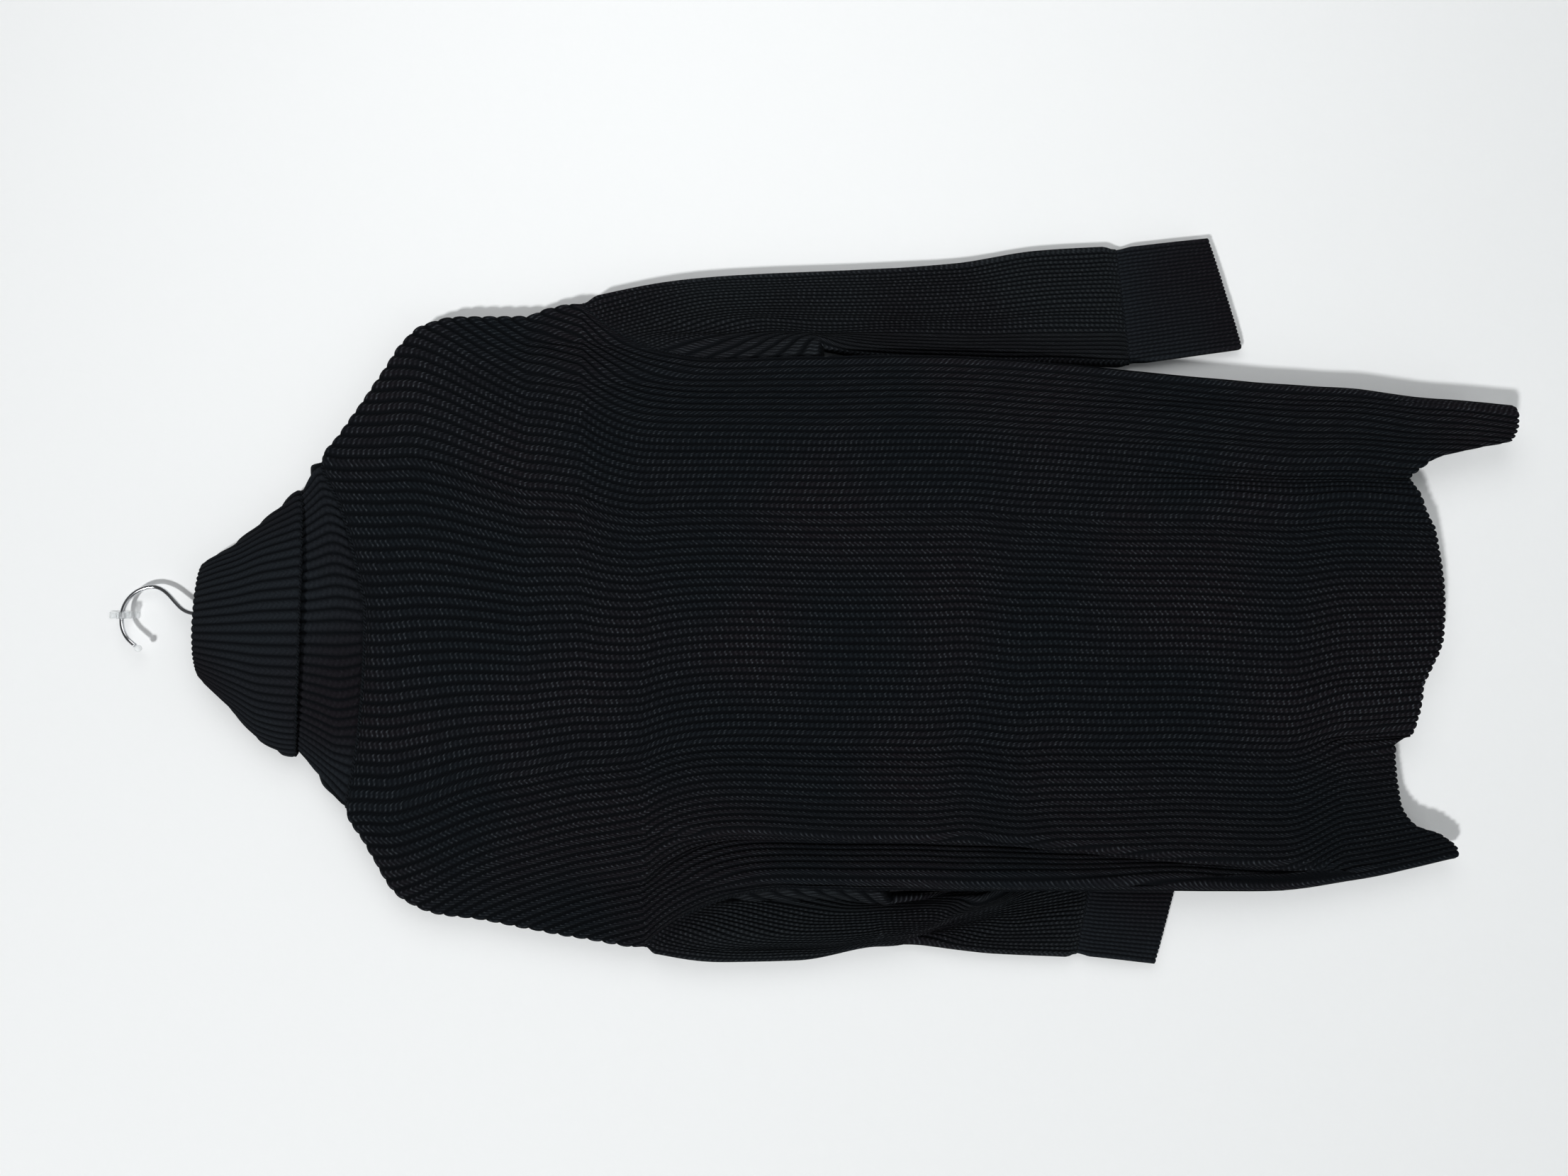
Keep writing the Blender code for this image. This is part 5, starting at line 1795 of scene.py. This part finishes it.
@dataclass
class Studio:
    """The wall, the floor, the soft light and the camera."""

    floor_z: float = -1.7
    half_width: float = 2.6
    wall_gap: float = 0.0004  # keeps the wall clear of the hook's flat back
    camera_x: float = 0.020
    camera_depth: float = 0.872
    camera_z: float = -0.490
    lens: float = 27.03
    lamps: tuple[Lamp, ...] = (
        Lamp("key_light", (-1.8, -3.4, 1.1), 0.40, 119.0),
        Lamp("fill_light", (0.65, -0.9, -0.42), 0.90, 4.4),
        Lamp("back_light", (0.6, 2.4, 0.5), 1.20, 50.0),
    )
    ambient: float = 0.06

    def plane(self, name: str, place: Matrix, finish: bpy.types.Material, casts: bool = True) -> None:
        """A flat square of the stage.

        Args:
            name: Its name.
            place: Its place and turn.
            finish: Its paint.
            casts: Whether it stops the light, or lets the back light through.
        """
        bm = bmesh.new()
        bmesh.ops.create_grid(bm, x_segments=8, y_segments=8, size=self.half_width)
        bmesh.ops.transform(bm, matrix=place, verts=bm.verts)
        mesh = bpy.data.meshes.new(name)
        bm.to_mesh(mesh)
        bm.free()
        made = linked(name, mesh, finish)
        made.visible_shadow = casts

    def build(self) -> None:
        """Makes the stage, the light and the camera."""
        wall = Paint("wall_paint", (0.86, 0.875, 0.88, 1.0), one_sided=True).make()
        floor = Paint("floor_paint", (0.80, 0.81, 0.81, 1.0)).make()
        upright = Matrix.Rotation(math.pi / 2, 4, "X")
        behind = Matrix.Translation((0.0, self.wall_gap, self.floor_z + self.half_width)) @ upright
        self.plane("wall_backdrop", behind, wall, casts=False)
        self.plane("floor", Matrix.Translation((0.0, -self.half_width, self.floor_z)), floor)
        world = bpy.data.worlds.new("studio")
        world.use_nodes = True
        sky = world.node_tree.nodes["Background"]
        sky.inputs["Color"].default_value = (0.96, 0.98, 1.0, 1.0)
        sky.inputs["Strength"].default_value = self.ambient
        bpy.context.scene.world = world
        for lamp in self.lamps:
            lamp.build()
        self.set_camera()
        bpy.context.scene.view_settings.view_transform = "Standard"

    def set_camera(self) -> None:
        """The camera, turned on its side as the photograph was."""
        data = bpy.data.cameras.new("camera")
        data.sensor_width = 36.0
        data.lens = self.lens
        camera = bpy.data.objects.new("camera", data)
        turn = Matrix(((0.0, 1.0, 0.0), (0.0, 0.0, -1.0), (-1.0, 0.0, 0.0))).to_4x4()
        place = Vector((self.camera_x, -self.camera_depth, self.camera_z))
        camera.matrix_world = Matrix.Translation(place) @ turn
        bpy.context.scene.collection.objects.link(camera)
        bpy.context.scene.camera = camera


@dataclass(frozen=True)
class Sheet:
    """A finished cloth with its cut, what it hangs on and the seams that go with it."""

    piece: bpy.types.Object
    cut: tuple[float, float, float]
    on: str
    seams: list[bpy.types.Object]

    def declare(self) -> None:
        """Logs that the cloth is built."""
        log.info("built %s", self.piece.name)


@dataclass
class Sweater:
    """The whole garment, built in the order in which it is put together."""

    knit: bpy.types.Material
    sleeve_knit: bpy.types.Material
    cuff_knit: bpy.types.Material
    collar_knit: bpy.types.Material
    seam_yarn: bpy.types.Material

    def panels(self) -> tuple[BodyPanel, BodyPanel]:
        """The body's two panels.

        Returns:
            The panel that faces the room and the one against the wall.
        """
        room = BodyPanel(
            "back_knit", "back_panel", "back_yarn", Side.ROOM, ROOM_NECK, ROOM_HEM, ROOM_FOLDS,
            (0.52, 0.81, 0.32),
        )
        wall = BodyPanel(
            "front_knit", "front_panel", "front_yarn", Side.WALL, WALL_NECK, WALL_HEM, WALL_FOLDS,
            (0.52, 0.78, 0.30), per_rib=4, yoke_rows=54, body_rows=88, neck_stand_off=5.0, seed=7,
        )
        return room, wall

    def tubes(self, hand: Hand) -> tuple[Tube, Tube]:
        """The two tubes of one arm.

        Args:
            hand: The side of the garment.

        Returns:
            The sleeve and the cuff.
        """
        left = hand is Hand.LEFT
        side = hand.name.lower()
        sleeve = Tube(
            f"{side}_sleeve_knit", f"{side}_sleeve", "sleeve_yarn", hand,
            LEFT_SLEEVE if left else RIGHT_SLEEVE, (0.25, 0.40, 0.08), 52, 110,
            folds=LEFT_SLEEVE_FOLDS if left else RIGHT_SLEEVE_FOLDS, seed=31 if left else 37,
        )
        cuff = Tube(
            f"{side}_cuff_knit", f"{side}_cuff", "cuff_yarn", hand,
            LEFT_CUFF if left else RIGHT_CUFF, (0.18, 0.09, 0.015), 60, 24, per_rib=4,
            rise=FINE_RISE, cloth=FINE_CLOTH, wall=FINE_WALL, turned=True, seed=41 if left else 43,
        )
        return sleeve, cuff

    def seam(self, name: str, path: Array, radius: float, loop: bool = False) -> bpy.types.Object:
        """A linked seam in the garment's own yarn."""
        return LinkedSeam(name, path, radius, loop).build(self.seam_yarn)

    def build(self) -> None:
        """Makes every piece and logs each cloth."""
        room, wall = self.panels()
        back = Sheet(room.build(self.knit), room.cut, "hanger_body", [])
        front = Sheet(wall.build(self.knit), wall.cut, "hanger_body", [])
        sheets = [back, front]
        for hand in Hand:
            last = hand is Hand.RIGHT
            side = hand.name.lower()
            sleeve, cuff = self.tubes(hand)
            armhole = np.concatenate([room.armhole(last), wall.armhole(last)[::-1]])
            sleeve.lay(armhole)
            cuff.lay()
            arm = sleeve.build(self.sleeve_knit)
            band = cuff.build(self.cuff_knit)
            armhole_seam = self.seam(f"{side}_armhole_seam", armhole[:-1], 1.3, True)
            cuff_line = cuff.grid[0] + np.array([0.0, 0.0, 0.3])
            cuff_seam = self.seam(f"{side}_cuff_seam", cuff_line, 1.1, True)
            sheets.append(Sheet(arm, sleeve.cut, back.piece.name, [armhole_seam]))
            sheets.append(Sheet(band, cuff.cut, arm.name, [cuff_seam]))
            back.seams.append(self.seam(f"{side}_side_seam", room.side_seam(last), 0.9))
            back.seams.append(self.seam(f"{side}_shoulder_seam", room.shoulder_seam(last), 1.0))
        collar = Collar()
        neck = collar.build(self.collar_knit, room.neck_edge(), wall.neck_edge())
        neck_seam = self.seam("neck_seam", collar.base, 1.3, True)
        edge = self.seam("collar_edge", collar.flap_edge, 0.9, True)
        sheets.append(Sheet(neck, collar.cut, back.piece.name, [neck_seam, edge]))
        for sheet in sheets:
            sheet.declare()


def main() -> None:
    """Builds the sweater, its hanger and the studio."""
    logging.basicConfig(level=logging.INFO)
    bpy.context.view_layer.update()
    Studio().build()
    soft = (0.0125, 0.0155, 0.0190, 1.0)
    Sweater(
        knit=RibKnit("sweater_rib").make(),
        sleeve_knit=RibKnit("sleeve_rib", crest=(0.0150, 0.0180, 0.0205, 1.0)).make(),
        cuff_knit=RibKnit("cuff_rib", soft, stitch_relief=0.8, mark=0.5, step=0.3).make(),
        collar_knit=RibKnit("collar_rib", soft, stitch_relief=1.0, fuzz=1.7, mark=0.3, step=0.2).make(),
        seam_yarn=SeamYarn("seam_yarn").make(),
    ).build()
    chrome = Chrome("chrome_wire_finish").make()
    for piece in WireHook().build(chrome, ClearPlastic("clear_ball_plastic").make()):
        log.info("built %s", piece.name)
    log.info("built %s", WallHook().build(ClearPlastic("clear_hook_plastic", solid=0.55).make()).name)
    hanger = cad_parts["hanger_body"]
    hanger.data.materials.clear()
    hanger.data.materials.append(ClearPlastic("clear_hanger_plastic", frost=0.1).make())


if __name__ == "__main__":
    main()
